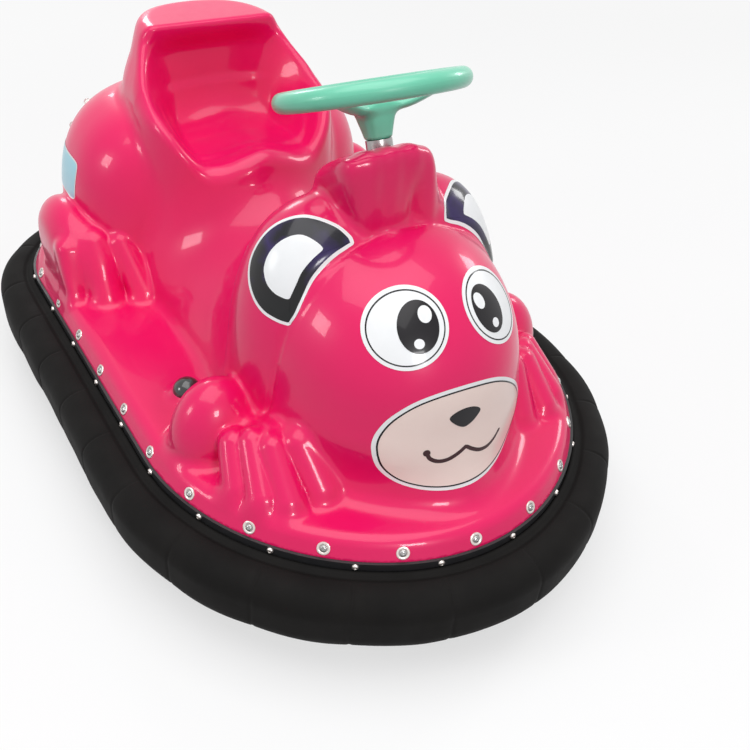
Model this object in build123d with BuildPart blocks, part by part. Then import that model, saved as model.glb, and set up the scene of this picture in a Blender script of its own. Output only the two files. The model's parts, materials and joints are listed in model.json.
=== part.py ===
"""Child's battery bumper car with a moulded bear body, in millimetres.

The car faces -Y, +Z is up and +X is on its left-hand side. The origin is on
the floor under the middle of the rubber bumper.
"""
from build123d import *
from math import atan2, cos, degrees, hypot, radians, sin, sqrt, tan
import os

os.makedirs("parts", exist_ok=True)

# ---- plan outline of the moulding: tangent arcs and straight sides ----
half_width = 330.0
shoulder_past_middle = 34.0
nose_step = 83.0
shoulder_radius = half_width + shoulder_past_middle
nose_radius = shoulder_radius - nose_step
shoulder_y = -170.0
side_end_y = 322.0
corner_radius = 190.0
rear_radius = 860.0

# ---- moulded deck and its skirt ----
shell_wall = 5.0
skirt_bottom = 160.0
skirt_height = 27.0
skirt_inset = 14.5
deck_top = skirt_bottom + skirt_height

# ---- rubber bumper and the steel band that holds it ----
bumper_reach = 65.0
bumper_bottom = 55.0
bumper_height = 95.0
bumper_round = 34.0
band_out = 3.0
band_wall = 6.0
band_bottom = 66.0

# ---- floor pan and frame ----
pan_bottom = 100.0
pan_wall = 3.0
pan_top = pan_bottom + pan_wall
rail_x = 125.0
rail_side = 30.0
rail_front_y = -195.0
rail_rear_y = 430.0
rail_wall = 2.5
swivel_opening_radius = 128.0
wheel_slot_clearance = 12.0

# ---- wheels ----
wheel_radius = 75.0
tyre_width = 38.0
tyre_round = 9.0
rim_radius = 50.0
rim_wall = 6.0
rim_web = 8.0
wheel_hub_radius = 16.0
wheel_hub_width = 46.0
axle_radius = 8.0
running_clearance = 0.05
rear_axle_y = 300.0
rear_wheel_x = 225.0
axle_beam_side = 30.0
bracket_wall = 6.0
bracket_length = 50.0
washer_radius = 13.0
washer_thickness = 3.0
side_gap = 0.5

# ---- steering column and wheel ----
column_tilt = 23.0
wheel_centre_y = -174.0
wheel_centre_z = 627.0
steer_wheel_radius = 110.5
steer_tube_radius = 12.5
steer_dish = 24.0
hub_top_radius = 24.0
hub_bottom_radius = 15.0
hub_length = 46.0
hub_cover = 4.0
spoke_radius = 8.5
spoke_count = 3
shaft_radius = 9.0
joint_ball_radius = 12.0
joint_z = 252.0
bush_radius = 17.0
bush_length = 45.0
bush_proud = 1.5

# ---- steered drive unit ----
kingpin_radius = 12.5
bearing_radius = 22.0
bearing_height = 40.0
bridge_top = 214.0
bridge_wall = 8.0
bridge_length = 70.0
bridge_clearance = 8.0
crown_wall = 8.0
crown_clearance = 14.0
fork_wall = 6.0
fork_length = 46.0
fork_gap = 4.0
motor_radius = 33.0
motor_length = 66.0

# ---- battery ----
battery_length = 195.0
battery_width = 165.0
battery_height = 170.0
battery_y = 238.0
tray_wall = 3.0
tray_lip = 30.0
tray_gap = 1.0

# ---- head, cowl, tuft ----
crease_y = -264.0
head_centre_y = -219.0
head_squeeze = 0.805
head_wall = ((266, 0), (249, 33), (238, 63), (226.5, 109))
head_arcs = (((209, 183), (184.5, 224)), ((142, 262), (0, 300)))
cowl_centre_y = -192.5
cowl_half_length = 160.0
cowl_half_width = 216.5
cowl_shoulder_height = 141.0
cowl_shoulder_inset = 16.0
cowl_power = 2.2
cowl_stations = (-230.0, -192.5, -150.0, -110.0, -80.0, -55.0, -40.0)
tuft_right, tuft_valley, tuft_left = -74.0, 24.0, 60.0
tuft_drop = 13.0
tuft_round = 18.0
tuft_foot_z = 440.0
tuft_margin = 1.0

# ---- seat tower, saddle and rump ----
tower_front_y = 104.0
tower_front_bow = 0.0026
tower_rear_bow = 0.0033
tower_levels = (
    # z, half width, middle of the rear face
    (deck_top, 190.0, 450.0),
    (400.0, 167.0, 446.0),
    (440.0, 163.0, 428.0),
    (487.0, 153.0, 411.0),
    (527.0, 134.0, 398.0),
    (568.0, 120.0, 383.0),
)
tower_rear_taper = 10.0
tower_wall = 12.0
tower_pocket_half_width = 150.0
ridge_line = (
    # y, z of the top of the bolsters, from the front lip to the top of the back
    (90.0, 440.0),
    (145.0, 462.0),
    (190.0, 478.0),
    (250.0, 494.0),
    (300.0, 526.0),
    (340.0, 560.0),
    (346.0, 568.0),
)
seat_pan_z = 402.0
seat_pan_low_y = 200.0
seat_lip_z = 415.0
seat_heel_rise = 7.0
seat_back_foot_y = 300.0
seat_back_top_y = 325.0
seat_back_top = 568.0
bucket_round = 22.0
bucket_margin = 2.0
above_all = 2 * seat_back_top
bucket_sections = (
    # y, half width of the floor, half width of the sides, z where the sides end
    (80.0, 75.0, 165.0, 470.0),
    (330.0, 58.0, 128.0, 545.0),
)
saddle_x = (0.0, 80.0, 120.0, 150.0, 180.0)
saddle_sections = (
    # y, the heights of the tank at saddle_x, and where it meets the deck
    (-100.0, (464, 446, 411, 356, 270), 205),
    (-80.0, (450, 428, 388, 308, 239), 199),
    (-45.0, (422, 393, 328, 270, 223), 192),
    (5.0, (361, 323, 287, 256, 213), 188),
    (70.0, (363, 325, 290, 256, 212), 188),
    (120.0, (420, 385, 325, 275, 220), 188),
)
rump_centre_y = 323.0
rump_squeeze = 1.52
rump_wall = ((172, 0), (170, 130))
rump_arcs = (((152, 222), (104, 267)), ((58, 278), (0, 280)))

# ---- paws: lumps on the deck, each (x, y), half sizes and heading, then fingers ----
front_lumps = (
    ((243.0, -211.0), (53.0, 83.0, 82.0), 52.6),
    ((209.0, -306.0), (76.0, 84.0, 78.0), 0.0),
)
front_fingers = (
    # x, y, radius and height over the deck
    (272.0, -284.0, 21.0, 58.0),
    (254.0, -330.0, 23.0, 66.0),
    (217.0, -358.0, 23.0, 70.0),
    (174.0, -360.0, 23.0, 68.0),
)
rear_lumps = (
    ((240.0, 245.0), (74.0, 92.0, 112.0), 0.0),
    ((262.0, 300.0), (50.0, 94.0, 120.0), 0.0),
)
rear_fingers = (
    (292.0, 213.0, 23.0, 99.0),
    (257.0, 197.0, 26.0, 104.0),
    (211.0, 173.0, 28.0, 104.0),
)

# ---- foot button ----
button_x = -237.0
button_y = -104.0
button_radius = 20.5
button_stem_radius = 9.0
button_stem = 6.0


def on_circle(centre, radius, angle):
    """The point of a circle at an angle in degrees."""
    turn = radians(angle)
    return (centre[0] + radius * cos(turn), centre[1] + radius * sin(turn))


def outline(grow):
    """The car's plan outline moved outwards by grow, closed, as one face."""
    shoulder = (half_width - shoulder_radius, shoulder_y)
    drop = sqrt((shoulder_radius - nose_radius) ** 2 - shoulder[0] ** 2)
    nose = (0, shoulder_y - drop)
    nose_angle = degrees(atan2(nose[1] - shoulder[1], nose[0] - shoulder[0]))
    corner = (half_width - corner_radius, side_end_y)
    rise = sqrt((rear_radius - corner_radius) ** 2 - corner[0] ** 2)
    rear = (0, side_end_y - rise)
    rear_angle = degrees(atan2(rise, corner[0]))
    nose_r, shoulder_r = nose_radius + grow, shoulder_radius + grow
    corner_r, rear_r = corner_radius + grow, rear_radius + grow
    tip = (0, nose[1] - nose_r)
    nose_mid = on_circle(nose, nose_r, (nose_angle - 90) / 2)
    nose_end = on_circle(nose, nose_r, nose_angle)
    shoulder_mid = on_circle(shoulder, shoulder_r, nose_angle / 2)
    side_start = (half_width + grow, shoulder_y)
    side_end = (half_width + grow, side_end_y)
    corner_mid = on_circle(corner, corner_r, rear_angle / 2)
    corner_end = on_circle(corner, corner_r, rear_angle)
    rear_mid = on_circle(rear, rear_r, (rear_angle + 90) / 2)
    tail = (0, rear[1] + rear_r)
    with BuildSketch() as plan:
        with BuildLine():
            ThreePointArc(tip, nose_mid, nose_end)
            ThreePointArc(nose_end, shoulder_mid, side_start)
            Line(side_start, side_end)
            ThreePointArc(side_end, corner_mid, corner_end)
            ThreePointArc(corner_end, rear_mid, tail)
            mirror(about=Plane.YZ)
        make_face()
    return plan.sketch


def outline_slab(grow, bottom, height):
    """A slab of the plan outline."""
    with BuildPart() as slab:
        with BuildSketch(Plane.XY.offset(bottom)):
            add(outline(grow))
        extrude(amount=height)
    return slab.part


def cap(half, shoulder_height, shoulder_inset, inset=0.0):
    """Half of a moulded form's profile: a leaning wall and a tangent round top.

    The wall leans in by shoulder_inset over shoulder_height, and the round top
    reaches the axis level. inset moves the whole line inwards. Returns the foot,
    the end of the wall, the middle of the arc and the crown.
    """
    lean = atan2(shoulder_inset, shoulder_height)
    full_radius = (half - shoulder_inset) / cos(lean)
    centre = deck_top + shoulder_height - full_radius * sin(lean)
    radius = full_radius - inset
    wall_end = (radius * cos(lean), centre + radius * sin(lean))
    foot = (wall_end[0] + (wall_end[1] - deck_top) * tan(lean), deck_top)
    middle = (lean + radians(90)) / 2
    return foot, wall_end, (radius * cos(middle), centre + radius * sin(middle)), (0, centre + radius)


def turned(wall, arcs, centre_y, squeeze, shrink=1.0):
    """A dome on the deck, turned about its own upright axis and squeezed in X.

    wall runs up from the deck as (radius, height) points, and each of arcs is the
    middle and the end of one arc, the last of which ends on the axis.
    """
    def at(point):
        return (point[0] * shrink, deck_top + point[1] * shrink)

    start = wall[-1]
    with BuildPart() as shape:
        with BuildSketch(Plane.XZ):
            with BuildLine():
                Polyline((0, deck_top), *[at(point) for point in wall])
                for middle, end in arcs:
                    ThreePointArc(at(start), at(middle), at(end))
                    start = end
                Line(at(start), (0, deck_top))
            make_face()
        revolve(axis=Axis.Z)
        scale(by=(squeeze, 1, 1))
    return shape.part.moved(Location((0, centre_y, 0)))


def arch(half, shoulder_height, shoulder_inset, inset=0.0):
    """Face of an arch on the deck, across the car: leaning walls and one round top."""
    foot, wall_end, middle, crown = cap(half, shoulder_height, shoulder_inset, inset)
    with BuildSketch() as face:
        with BuildLine():
            Polyline((0, deck_top), foot, wall_end)
            ThreePointArc(wall_end, middle, crown)
            mirror(about=Plane.YZ)
        make_face()
    return face.sketch


def between(y_front, y_rear):
    """A block across the whole car between two planes of constant y."""
    with BuildPart() as block:
        with Locations((0, (y_front + y_rear) / 2, above_all / 2)):
            Box(4 * half_width, y_rear - y_front, above_all)
    return block.part


def save(name, shape):
    """Label one finished piece and write its STEP file."""
    shape.label = name
    export_step(shape, f"parts/{name}.step")


# ==== column geometry: the steering axis meets the vertical kingpin at the joint ====
column_turn = radians(column_tilt)
axis_up = (0, sin(column_turn), cos(column_turn))
joint_y = wheel_centre_y - (wheel_centre_z - joint_z) * tan(column_turn)
column_length = (wheel_centre_z - joint_z) / cos(column_turn)
bridge_half = swivel_opening_radius + bridge_clearance
column_plane = Plane(origin=(0, joint_y, joint_z), x_dir=(1, 0, 0), z_dir=axis_up)


# ==== deck and skirt: one moulding with a drafted skirt, open underneath ====
with BuildPart() as shell_deck:
    with BuildSketch(Plane.XY.offset(skirt_bottom)):
        add(outline(0))
    with BuildSketch(Plane.XY.offset(deck_top)):
        add(outline(-skirt_inset))
    loft()
    with BuildSketch(Plane.XY.offset(skirt_bottom)):
        add(outline(-shell_wall))
    with BuildSketch(Plane.XY.offset(deck_top - shell_wall)):
        add(outline(-skirt_inset - shell_wall))
    loft(mode=Mode.SUBTRACT)
    deck_opening_x = battery_width / 2 + tray_wall + tray_gap + shell_wall
    with BuildSketch(Plane.XY.offset(deck_top)):
        with Locations((0, joint_y)):
            Circle(swivel_opening_radius)
            Rectangle(2 * (bridge_half + bridge_wall + side_gap), bridge_length + 2 * side_gap)
        with Locations((0, battery_y)):
            Rectangle(2 * deck_opening_x, battery_length + 4 * shell_wall)
    extrude(amount=-2 * shell_wall, mode=Mode.SUBTRACT)
save("shell_deck", shell_deck.part)


# ==== head dome in front of the crease ====
head_values = (head_wall, head_arcs, head_centre_y, head_squeeze)
head_hollow = 1 - shell_wall / head_wall[-1][0]
head_solid = turned(*head_values) & between(-2 * half_width, crease_y)
with BuildPart() as head_dome:
    add(head_solid)
    add(turned(*head_values, shrink=head_hollow), mode=Mode.SUBTRACT)
save("head_dome", head_dome.part)


# ==== cowl behind the crease: arches that shrink towards the rider ====
def cowl_share(y):
    """The cowl's size at a station, as a share of its largest arch."""
    reach = abs(y - cowl_centre_y) / cowl_half_length
    return (1 - reach**cowl_power) ** (1 / cowl_power)


with BuildPart() as cowl_block:
    for station in (crease_y, *cowl_stations):
        with BuildSketch(Plane.XZ.offset(-station)):
            share = cowl_share(station)
            add(arch(cowl_half_width * share, cowl_shoulder_height * share, cowl_shoulder_inset * share))
    loft()
cowl_form = cowl_block.part
with BuildPart() as cowl:
    add(cowl_form)
    for near, far in ((crease_y, cowl_stations[2]), (cowl_stations[2], cowl_stations[4])):
        share = min(cowl_share(near), cowl_share(far)) - 2 * shell_wall / cowl_half_width
        with BuildSketch(Plane.XZ.offset(-far)):
            add(arch(cowl_half_width * share, cowl_shoulder_height * share, cowl_shoulder_inset * share))
        extrude(amount=far - near, mode=Mode.SUBTRACT)
    with BuildSketch(column_plane):
        Circle(bush_radius)
    extrude(amount=2 * column_length, mode=Mode.SUBTRACT)
save("cowl", cowl.part)


# ==== hair tuft on the cowl: two lobes, bored for the steering column ====
tuft_profile = (
    # y, z of the big lobe's side view, from its rear foot round to its front foot
    (-128, tuft_foot_z),
    (-134, 505),
    (-160, 544),
    (-200, 572),
    (-240, 591),
    (-266, 595),
    (-288, 582),
    (-296, 550),
    (-296, tuft_foot_z),
)


def tuft_lobe(start, end, drop, rounding):
    """A slab of the tuft between two values of x, its top lowered by drop and rounded."""
    with BuildPart() as slab:
        with BuildSketch(Plane.YZ.offset(start)):
            Polygon(*[(y, max(z - drop, tuft_foot_z)) for y, z in tuft_profile], align=None)
        extrude(amount=end - start)
        ends = slab.faces().filter_by(Axis.X).edges()
        fillet(ends.filter_by_position(Axis.Z, tuft_foot_z + tuft_margin, above_all), rounding)
    return slab.part


with BuildPart() as hair_tuft:
    add(tuft_lobe(tuft_right, tuft_valley, 0, tuft_round))
    add(tuft_lobe(tuft_valley, tuft_left, tuft_drop, tuft_round / 2))
    add(cowl_form, mode=Mode.SUBTRACT)
    add(head_solid, mode=Mode.SUBTRACT)
    with BuildSketch(column_plane):
        Circle(bush_radius)
    extrude(amount=2 * column_length, mode=Mode.SUBTRACT)
save("hair_tuft", hair_tuft.part)


# ==== seat tower: bowed level sections, cut by the ridge's line and by the bucket ====
def tower_section(half, rear_y):
    """A level section of the tower: bowed front, straight sides and bowed rear."""
    rear_half = half - tower_rear_taper
    front_corner = tower_front_y + tower_front_bow * half**2
    rear_corner = rear_y - tower_rear_bow * rear_half**2
    with BuildSketch() as section:
        with BuildLine():
            ThreePointArc((-half, front_corner), (0, tower_front_y), (half, front_corner))
            Line((half, front_corner), (rear_half, rear_corner))
            ThreePointArc((rear_half, rear_corner), (0, rear_y), (-rear_half, rear_corner))
            Line((-rear_half, rear_corner), (-half, front_corner))
        make_face()
    return section.sketch


with BuildPart() as tower_block:
    for level_z, half, rear_y in tower_levels:
        with BuildSketch(Plane.XY.offset(level_z)):
            add(tower_section(half, rear_y))
    loft(ruled=True)
    with BuildSketch(Plane.YZ.offset(-half_width)):
        Polygon((ridge_line[0][0], above_all), *ridge_line, (ridge_line[-1][0], above_all), align=None)
    extrude(amount=2 * half_width, mode=Mode.SUBTRACT)
tower_form = tower_block.part

with BuildPart() as bucket_space:
    for section_y, floor_half, side_half, side_z in bucket_sections:
        with BuildSketch(Plane.XZ.offset(-section_y)):
            Polygon(
                (-floor_half, seat_pan_z - bucket_margin),
                (floor_half, seat_pan_z - bucket_margin),
                (side_half, side_z),
                (side_half, above_all),
                (-side_half, above_all),
                (-side_half, side_z),
                align=None,
            )
    loft(ruled=True)
with BuildPart() as bucket_side:
    with BuildSketch(Plane.YZ.offset(-half_width)):
        with BuildLine():
            Polyline(
                (bucket_sections[0][0], above_all),
                (bucket_sections[0][0], seat_lip_z),
                (seat_pan_low_y, seat_pan_z),
                (seat_back_foot_y, seat_pan_z + seat_heel_rise),
                (seat_back_top_y, seat_back_top),
                (seat_back_top_y, above_all),
                close=True,
            )
        make_face()
    extrude(amount=2 * half_width)
    heel = bucket_side.edges().filter_by(Axis.X).sort_by_distance((0, seat_back_foot_y, seat_pan_z))[0]
    fillet(heel, bucket_round)
    add(bucket_space.part, mode=Mode.INTERSECT)

with BuildPart() as seat_tower:
    add(tower_form)
    add(bucket_side.part, mode=Mode.SUBTRACT)
    with BuildSketch(Plane.XY.offset(deck_top)):
        add(tower_section(*tower_levels[0][1:]))
        offset(amount=-tower_wall, kind=Kind.INTERSECTION)
        Rectangle(2 * tower_pocket_half_width, 4 * half_width, mode=Mode.INTERSECT)
    extrude(amount=seat_pan_z - deck_top - 2 * tower_wall, mode=Mode.SUBTRACT)
save("seat_tower", seat_tower.part)


# ==== saddle between the cowl and the seat, where the rider's legs pass ====
with BuildPart() as saddle:
    for section_y, heights, foot in saddle_sections:
        half_line = [(foot, deck_top)] + list(zip(saddle_x, heights))[::-1]
        with BuildSketch(Plane.XZ.offset(-section_y)):
            Polygon(*half_line, *[(-x, z) for x, z in half_line[-2::-1]], align=None)
    loft(ruled=True)
    add(cowl_form, mode=Mode.SUBTRACT)
    add(tower_form, mode=Mode.SUBTRACT)
    with BuildSketch(Plane.XY.offset(deck_top)):
        with Locations((0, (saddle_sections[2][0] + saddle_sections[4][0]) / 2)):
            Rectangle(2 * saddle_x[2], saddle_sections[4][0] - saddle_sections[2][0])
    extrude(amount=saddle_sections[3][1][2] - deck_top - 2 * shell_wall, mode=Mode.SUBTRACT)
save("saddle", saddle.part)


# ==== rump behind and beside the seat ====
rump_values = (rump_wall, rump_arcs, rump_centre_y, rump_squeeze)
rump_form = turned(*rump_values)
rump_hollow = 1 - 2 * shell_wall / rump_wall[0][0]
with BuildPart() as rump:
    add(rump_form)
    add(turned(*rump_values, shrink=rump_hollow), mode=Mode.SUBTRACT)
    add(tower_form, mode=Mode.SUBTRACT)
save("rump", rump.part)


# ==== paws: rounded lumps with a row of fingers ====
def lump(centre, half_sizes, heading):
    """Half an ellipsoid standing on the deck, turned by heading in degrees."""
    with BuildPart() as shape:
        Sphere(1)
        scale(by=half_sizes)
        with Locations((0, 0, -half_sizes[2])):
            Box(4 * half_sizes[0], 4 * half_sizes[1], 2 * half_sizes[2], mode=Mode.SUBTRACT)
    return shape.part.moved(Location((*centre, deck_top), (0, 0, heading)))


def finger(centre, radius, height):
    """A finger on the deck: a round post with a ball end."""
    slant = radius * sqrt(0.5)
    with BuildPart() as shape:
        with BuildSketch(Plane.XZ):
            with BuildLine():
                Polyline((0, height), (0, 0), (radius, 0), (radius, height - radius))
                ThreePointArc((radius, height - radius), (slant, height - radius + slant), (0, height))
            make_face()
        revolve(axis=Axis.Z)
    return shape.part.moved(Location((*centre, deck_top)))


def paw(sign, lumps, fingers, *neighbours):
    """A paw on one side of the car, cut back to its neighbours."""
    with BuildPart() as shape:
        for (x, y), half_sizes, heading in lumps:
            add(lump((sign * x, y), half_sizes, sign * heading))
        for x, y, radius, height in fingers:
            add(finger((sign * x, y), radius, height))
        for neighbour in neighbours:
            add(neighbour, mode=Mode.SUBTRACT)
    return shape.part


for side, sign in (("right", -1), ("left", 1)):
    save(f"front_paw_{side}", paw(sign, front_lumps, front_fingers, head_solid, cowl_form))
    save(f"rear_paw_{side}", paw(sign, rear_lumps, rear_fingers, tower_form, rump_form))


# ==== foot button on the deck by the rider's right foot ====
with BuildPart() as foot_button:
    with Locations((button_x, button_y, deck_top + button_stem / 2)):
        Cylinder(button_stem_radius, button_stem)
    with Locations((button_x, button_y, deck_top + button_stem)):
        Sphere(button_radius, arc_size1=0, align=(Align.CENTER, Align.CENTER, Align.MIN))
save("foot_button", foot_button.part)


# ==== steel band and rubber bumper round the whole car ====
with BuildPart() as bumper_band:
    add(outline_slab(band_out, band_bottom, skirt_bottom - band_bottom))
    add(outline_slab(band_out - band_wall, band_bottom, skirt_bottom - band_bottom), mode=Mode.SUBTRACT)
save("bumper_band", bumper_band.part)

with BuildPart() as rubber_bumper:
    add(outline_slab(bumper_reach, bumper_bottom, bumper_height))
    fillet(rubber_bumper.faces().sort_by(Axis.Z)[-1].edges(), bumper_round)
    fillet(rubber_bumper.faces().sort_by(Axis.Z)[0].edges(), bumper_round)
    add(outline_slab(band_out, bumper_bottom, bumper_height), mode=Mode.SUBTRACT)
save("rubber_bumper", rubber_bumper.part)


# ==== floor pan with its wheel openings ====
slot_width = tyre_width + 2 * wheel_slot_clearance
with BuildPart() as floor_pan:
    add(outline_slab(band_out - band_wall, pan_bottom, pan_wall))
    with BuildSketch(Plane.XY.offset(pan_bottom)):
        with Locations((0, joint_y)):
            Circle(swivel_opening_radius)
        with Locations((-rear_wheel_x, rear_axle_y), (rear_wheel_x, rear_axle_y)):
            Rectangle(slot_width, 2 * (wheel_radius + wheel_slot_clearance))
    extrude(amount=pan_wall, mode=Mode.SUBTRACT)
save("floor_pan", floor_pan.part)

rail_length = rail_rear_y - rail_front_y
rail_bore = rail_side - 2 * rail_wall
for side, sign in (("right", -1), ("left", 1)):
    with BuildPart() as rail:
        with Locations((sign * rail_x, (rail_front_y + rail_rear_y) / 2, pan_top + rail_side / 2)):
            Box(rail_side, rail_length, rail_side)
            Box(rail_bore, rail_length, rail_bore, mode=Mode.SUBTRACT)
    save(f"frame_rail_{side}", rail.part)


# ==== battery on its tray between the rails ====
tray_width = battery_width + 2 * tray_gap
tray_length = battery_length + 2 * tray_gap
with BuildPart() as battery_tray:
    with Locations((0, battery_y, pan_top + tray_lip / 2)):
        Box(tray_width + 2 * tray_wall, tray_length + 2 * tray_wall, tray_lip)
    with Locations((0, battery_y, pan_top + tray_wall + tray_lip / 2)):
        Box(tray_width, tray_length, tray_lip, mode=Mode.SUBTRACT)
save("battery_tray", battery_tray.part)
with BuildPart() as battery:
    with Locations((0, battery_y, pan_top + tray_wall + battery_height / 2)):
        Box(battery_width, battery_length, battery_height)
save("battery", battery.part)


# ==== rear axle beam under the pan, with stub axles and hanger plates ====
axle_z = wheel_radius
stub_start = rear_wheel_x - wheel_hub_width / 2 - side_gap
stub_end = rear_wheel_x + wheel_hub_width / 2 + side_gap
for_both = (-1, 1)
with BuildPart() as rear_axle:
    with Locations((0, rear_axle_y, axle_z)):
        Box(2 * stub_start, axle_beam_side, axle_beam_side)
        Cylinder(axle_radius, 2 * (stub_end + washer_thickness), rotation=(0, 90, 0))
save("rear_axle", rear_axle.part)
hanger_bottom = axle_z + axle_beam_side / 2
for side, sign in (("right", -1), ("left", 1)):
    with BuildPart() as hanger:
        with Locations((sign * rail_x, rear_axle_y, (hanger_bottom + pan_bottom) / 2)):
            Box(rail_side, bracket_length, pan_bottom - hanger_bottom)
    save(f"axle_hanger_{side}", hanger.part)
    with BuildPart() as axle_washer:
        with Locations((sign * (stub_end + washer_thickness / 2), rear_axle_y, axle_z)):
            Cylinder(washer_radius, washer_thickness, rotation=(0, 90, 0))
            Cylinder(axle_radius, washer_thickness, rotation=(0, 90, 0), mode=Mode.SUBTRACT)
    save(f"axle_washer_{side}", axle_washer.part)


# ==== wheels: a rubber tyre on a dished plastic rim ====
def tyre(x, y):
    """A tyre turned about an axis along X."""
    with BuildPart() as ring:
        with Locations((x, y, axle_z)):
            Cylinder(wheel_radius, tyre_width, rotation=(0, 90, 0))
        fillet(ring.edges().filter_by(GeomType.CIRCLE), tyre_round)
        with Locations((x, y, axle_z)):
            Cylinder(rim_radius, tyre_width, rotation=(0, 90, 0), mode=Mode.SUBTRACT)
    return ring.part


def rim(x, y, bore):
    """A wheel rim with a web and a hub, bored for its axle."""
    with BuildPart() as disc:
        with Locations((x, y, axle_z)):
            Cylinder(rim_radius, tyre_width, rotation=(0, 90, 0))
            Cylinder(rim_radius - rim_wall, tyre_width, rotation=(0, 90, 0), mode=Mode.SUBTRACT)
            Cylinder(rim_radius - rim_wall / 2, rim_web, rotation=(0, 90, 0))
            Cylinder(wheel_hub_radius, wheel_hub_width, rotation=(0, 90, 0))
            Cylinder(bore, 2 * wheel_hub_width, rotation=(0, 90, 0), mode=Mode.SUBTRACT)
    return disc.part


wheel_bore = axle_radius + running_clearance
wheel_places = (
    ("rear_right", -rear_wheel_x, rear_axle_y),
    ("rear_left", rear_wheel_x, rear_axle_y),
    ("front", 0, joint_y),
)
for name, x, y in wheel_places:
    save(f"tyre_{name}", tyre(x, y))
    save(f"rim_{name}", rim(x, y, wheel_bore))


# ==== steered drive unit under the head ====
bearing_bottom = bridge_top - bridge_wall - bearing_height / 2
bearing_top = bearing_bottom + bearing_height
crown_top = bearing_bottom - side_gap
crown_bottom = crown_top - crown_wall
fork_inner_x = wheel_hub_width / 2 + side_gap
fork_outer_x = fork_inner_x + fork_wall
socket_top = joint_z - joint_ball_radius - side_gap
with BuildPart() as drive_fork:
    with Locations((0, joint_y, (crown_bottom + crown_top) / 2)):
        Box(2 * fork_outer_x, fork_length, crown_wall)
    with Locations((0, joint_y, (crown_top + socket_top) / 2)):
        Cylinder(kingpin_radius, socket_top - crown_top)
    leg_bottom = axle_z - axle_radius - fork_wall
    for sign in (-1, 1):
        with Locations((sign * (fork_inner_x + fork_wall / 2), joint_y, (leg_bottom + crown_bottom) / 2)):
            Box(fork_wall, fork_length, crown_bottom - leg_bottom)
    with Locations((0, joint_y, axle_z)):
        Cylinder(axle_radius, 2 * fork_outer_x, rotation=(0, 90, 0))
save("drive_fork", drive_fork.part)
with BuildPart() as drive_motor:
    with Locations((-fork_outer_x - motor_length / 2, joint_y, axle_z)):
        Cylinder(motor_radius, motor_length, rotation=(0, 90, 0))
save("drive_motor", drive_motor.part)

with BuildPart() as fork_bridge:
    with Locations((0, joint_y, (pan_top + bridge_top) / 2)):
        Box(2 * (bridge_half + bridge_wall), bridge_length, bridge_top - pan_top)
    with Locations((0, joint_y, (pan_top + bridge_top - bridge_wall) / 2)):
        Box(2 * bridge_half, bridge_length, bridge_top - bridge_wall - pan_top, mode=Mode.SUBTRACT)
    with Locations((0, joint_y, bridge_top - bridge_wall / 2)):
        Cylinder(bearing_radius, bridge_wall, mode=Mode.SUBTRACT)
save("fork_bridge", fork_bridge.part)
with BuildPart() as kingpin_bearing:
    with Locations((0, joint_y, (bearing_bottom + bearing_top) / 2)):
        Cylinder(bearing_radius, bearing_height)
        Cylinder(kingpin_radius + running_clearance, bearing_height, mode=Mode.SUBTRACT)
save("kingpin_bearing", kingpin_bearing.part)


# ==== steering wheel, hub and shaft about the leaning column ====
rim_plane = column_plane.offset(column_length)
hub_top = column_length - steer_dish + spoke_radius + hub_cover
hub_bottom = hub_top - hub_length
with BuildPart() as steering_shaft:
    with BuildSketch(column_plane):
        Circle(shaft_radius)
    extrude(amount=hub_bottom)
    with Locations(column_plane.location):
        Sphere(joint_ball_radius)
save("steering_shaft", steering_shaft.part)
with BuildPart() as steering_rim:
    with Locations(rim_plane.location):
        Torus(steer_wheel_radius, steer_tube_radius)
save("steering_rim", steering_rim.part)
with BuildPart() as steering_hub:
    with BuildSketch(column_plane.offset(hub_bottom)):
        Circle(hub_bottom_radius)
    with BuildSketch(column_plane.offset(hub_top)):
        Circle(hub_top_radius)
    loft()
    for turn in range(spoke_count):
        angle = radians(90 + turn * 360 / spoke_count)
        start = column_plane.from_local_coords((0, 0, column_length - steer_dish))
        end = column_plane.from_local_coords(
            (steer_wheel_radius * cos(angle), steer_wheel_radius * sin(angle), column_length)
        )
        with BuildSketch(Plane(origin=start, z_dir=end - start)):
            Circle(spoke_radius)
        extrude(amount=(end - start).length)
    add(steering_rim.part, mode=Mode.SUBTRACT)
save("steering_hub", steering_hub.part)

bush_top = (tuft_profile[3][1] + bush_proud - joint_z) / cos(column_turn)
with BuildPart() as column_bush:
    with BuildSketch(column_plane.offset(bush_top - bush_length)):
        Circle(bush_radius)
        Circle(shaft_radius + running_clearance, mode=Mode.SUBTRACT)
    extrude(amount=bush_length)
save("column_bush", column_bush.part)
print("steering axis through", (0, joint_y, joint_z), "up", axis_up)
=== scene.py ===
# %% [markdown]
# # A child's bumper car with a bear's face
#
# The car is one glossy moulding of glass fibre standing on a black ring
# bumper. Steel, wheels and steering come from the CAD model, which fixes every
# size. The soft, blended shape of the moulding is what this script adds, with
# the face, the rivets and the finishes.

# %% Load the CAD model as a fixed frame
import json
import math

import bpy
import numpy as np
from mathutils import Matrix, Vector


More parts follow.
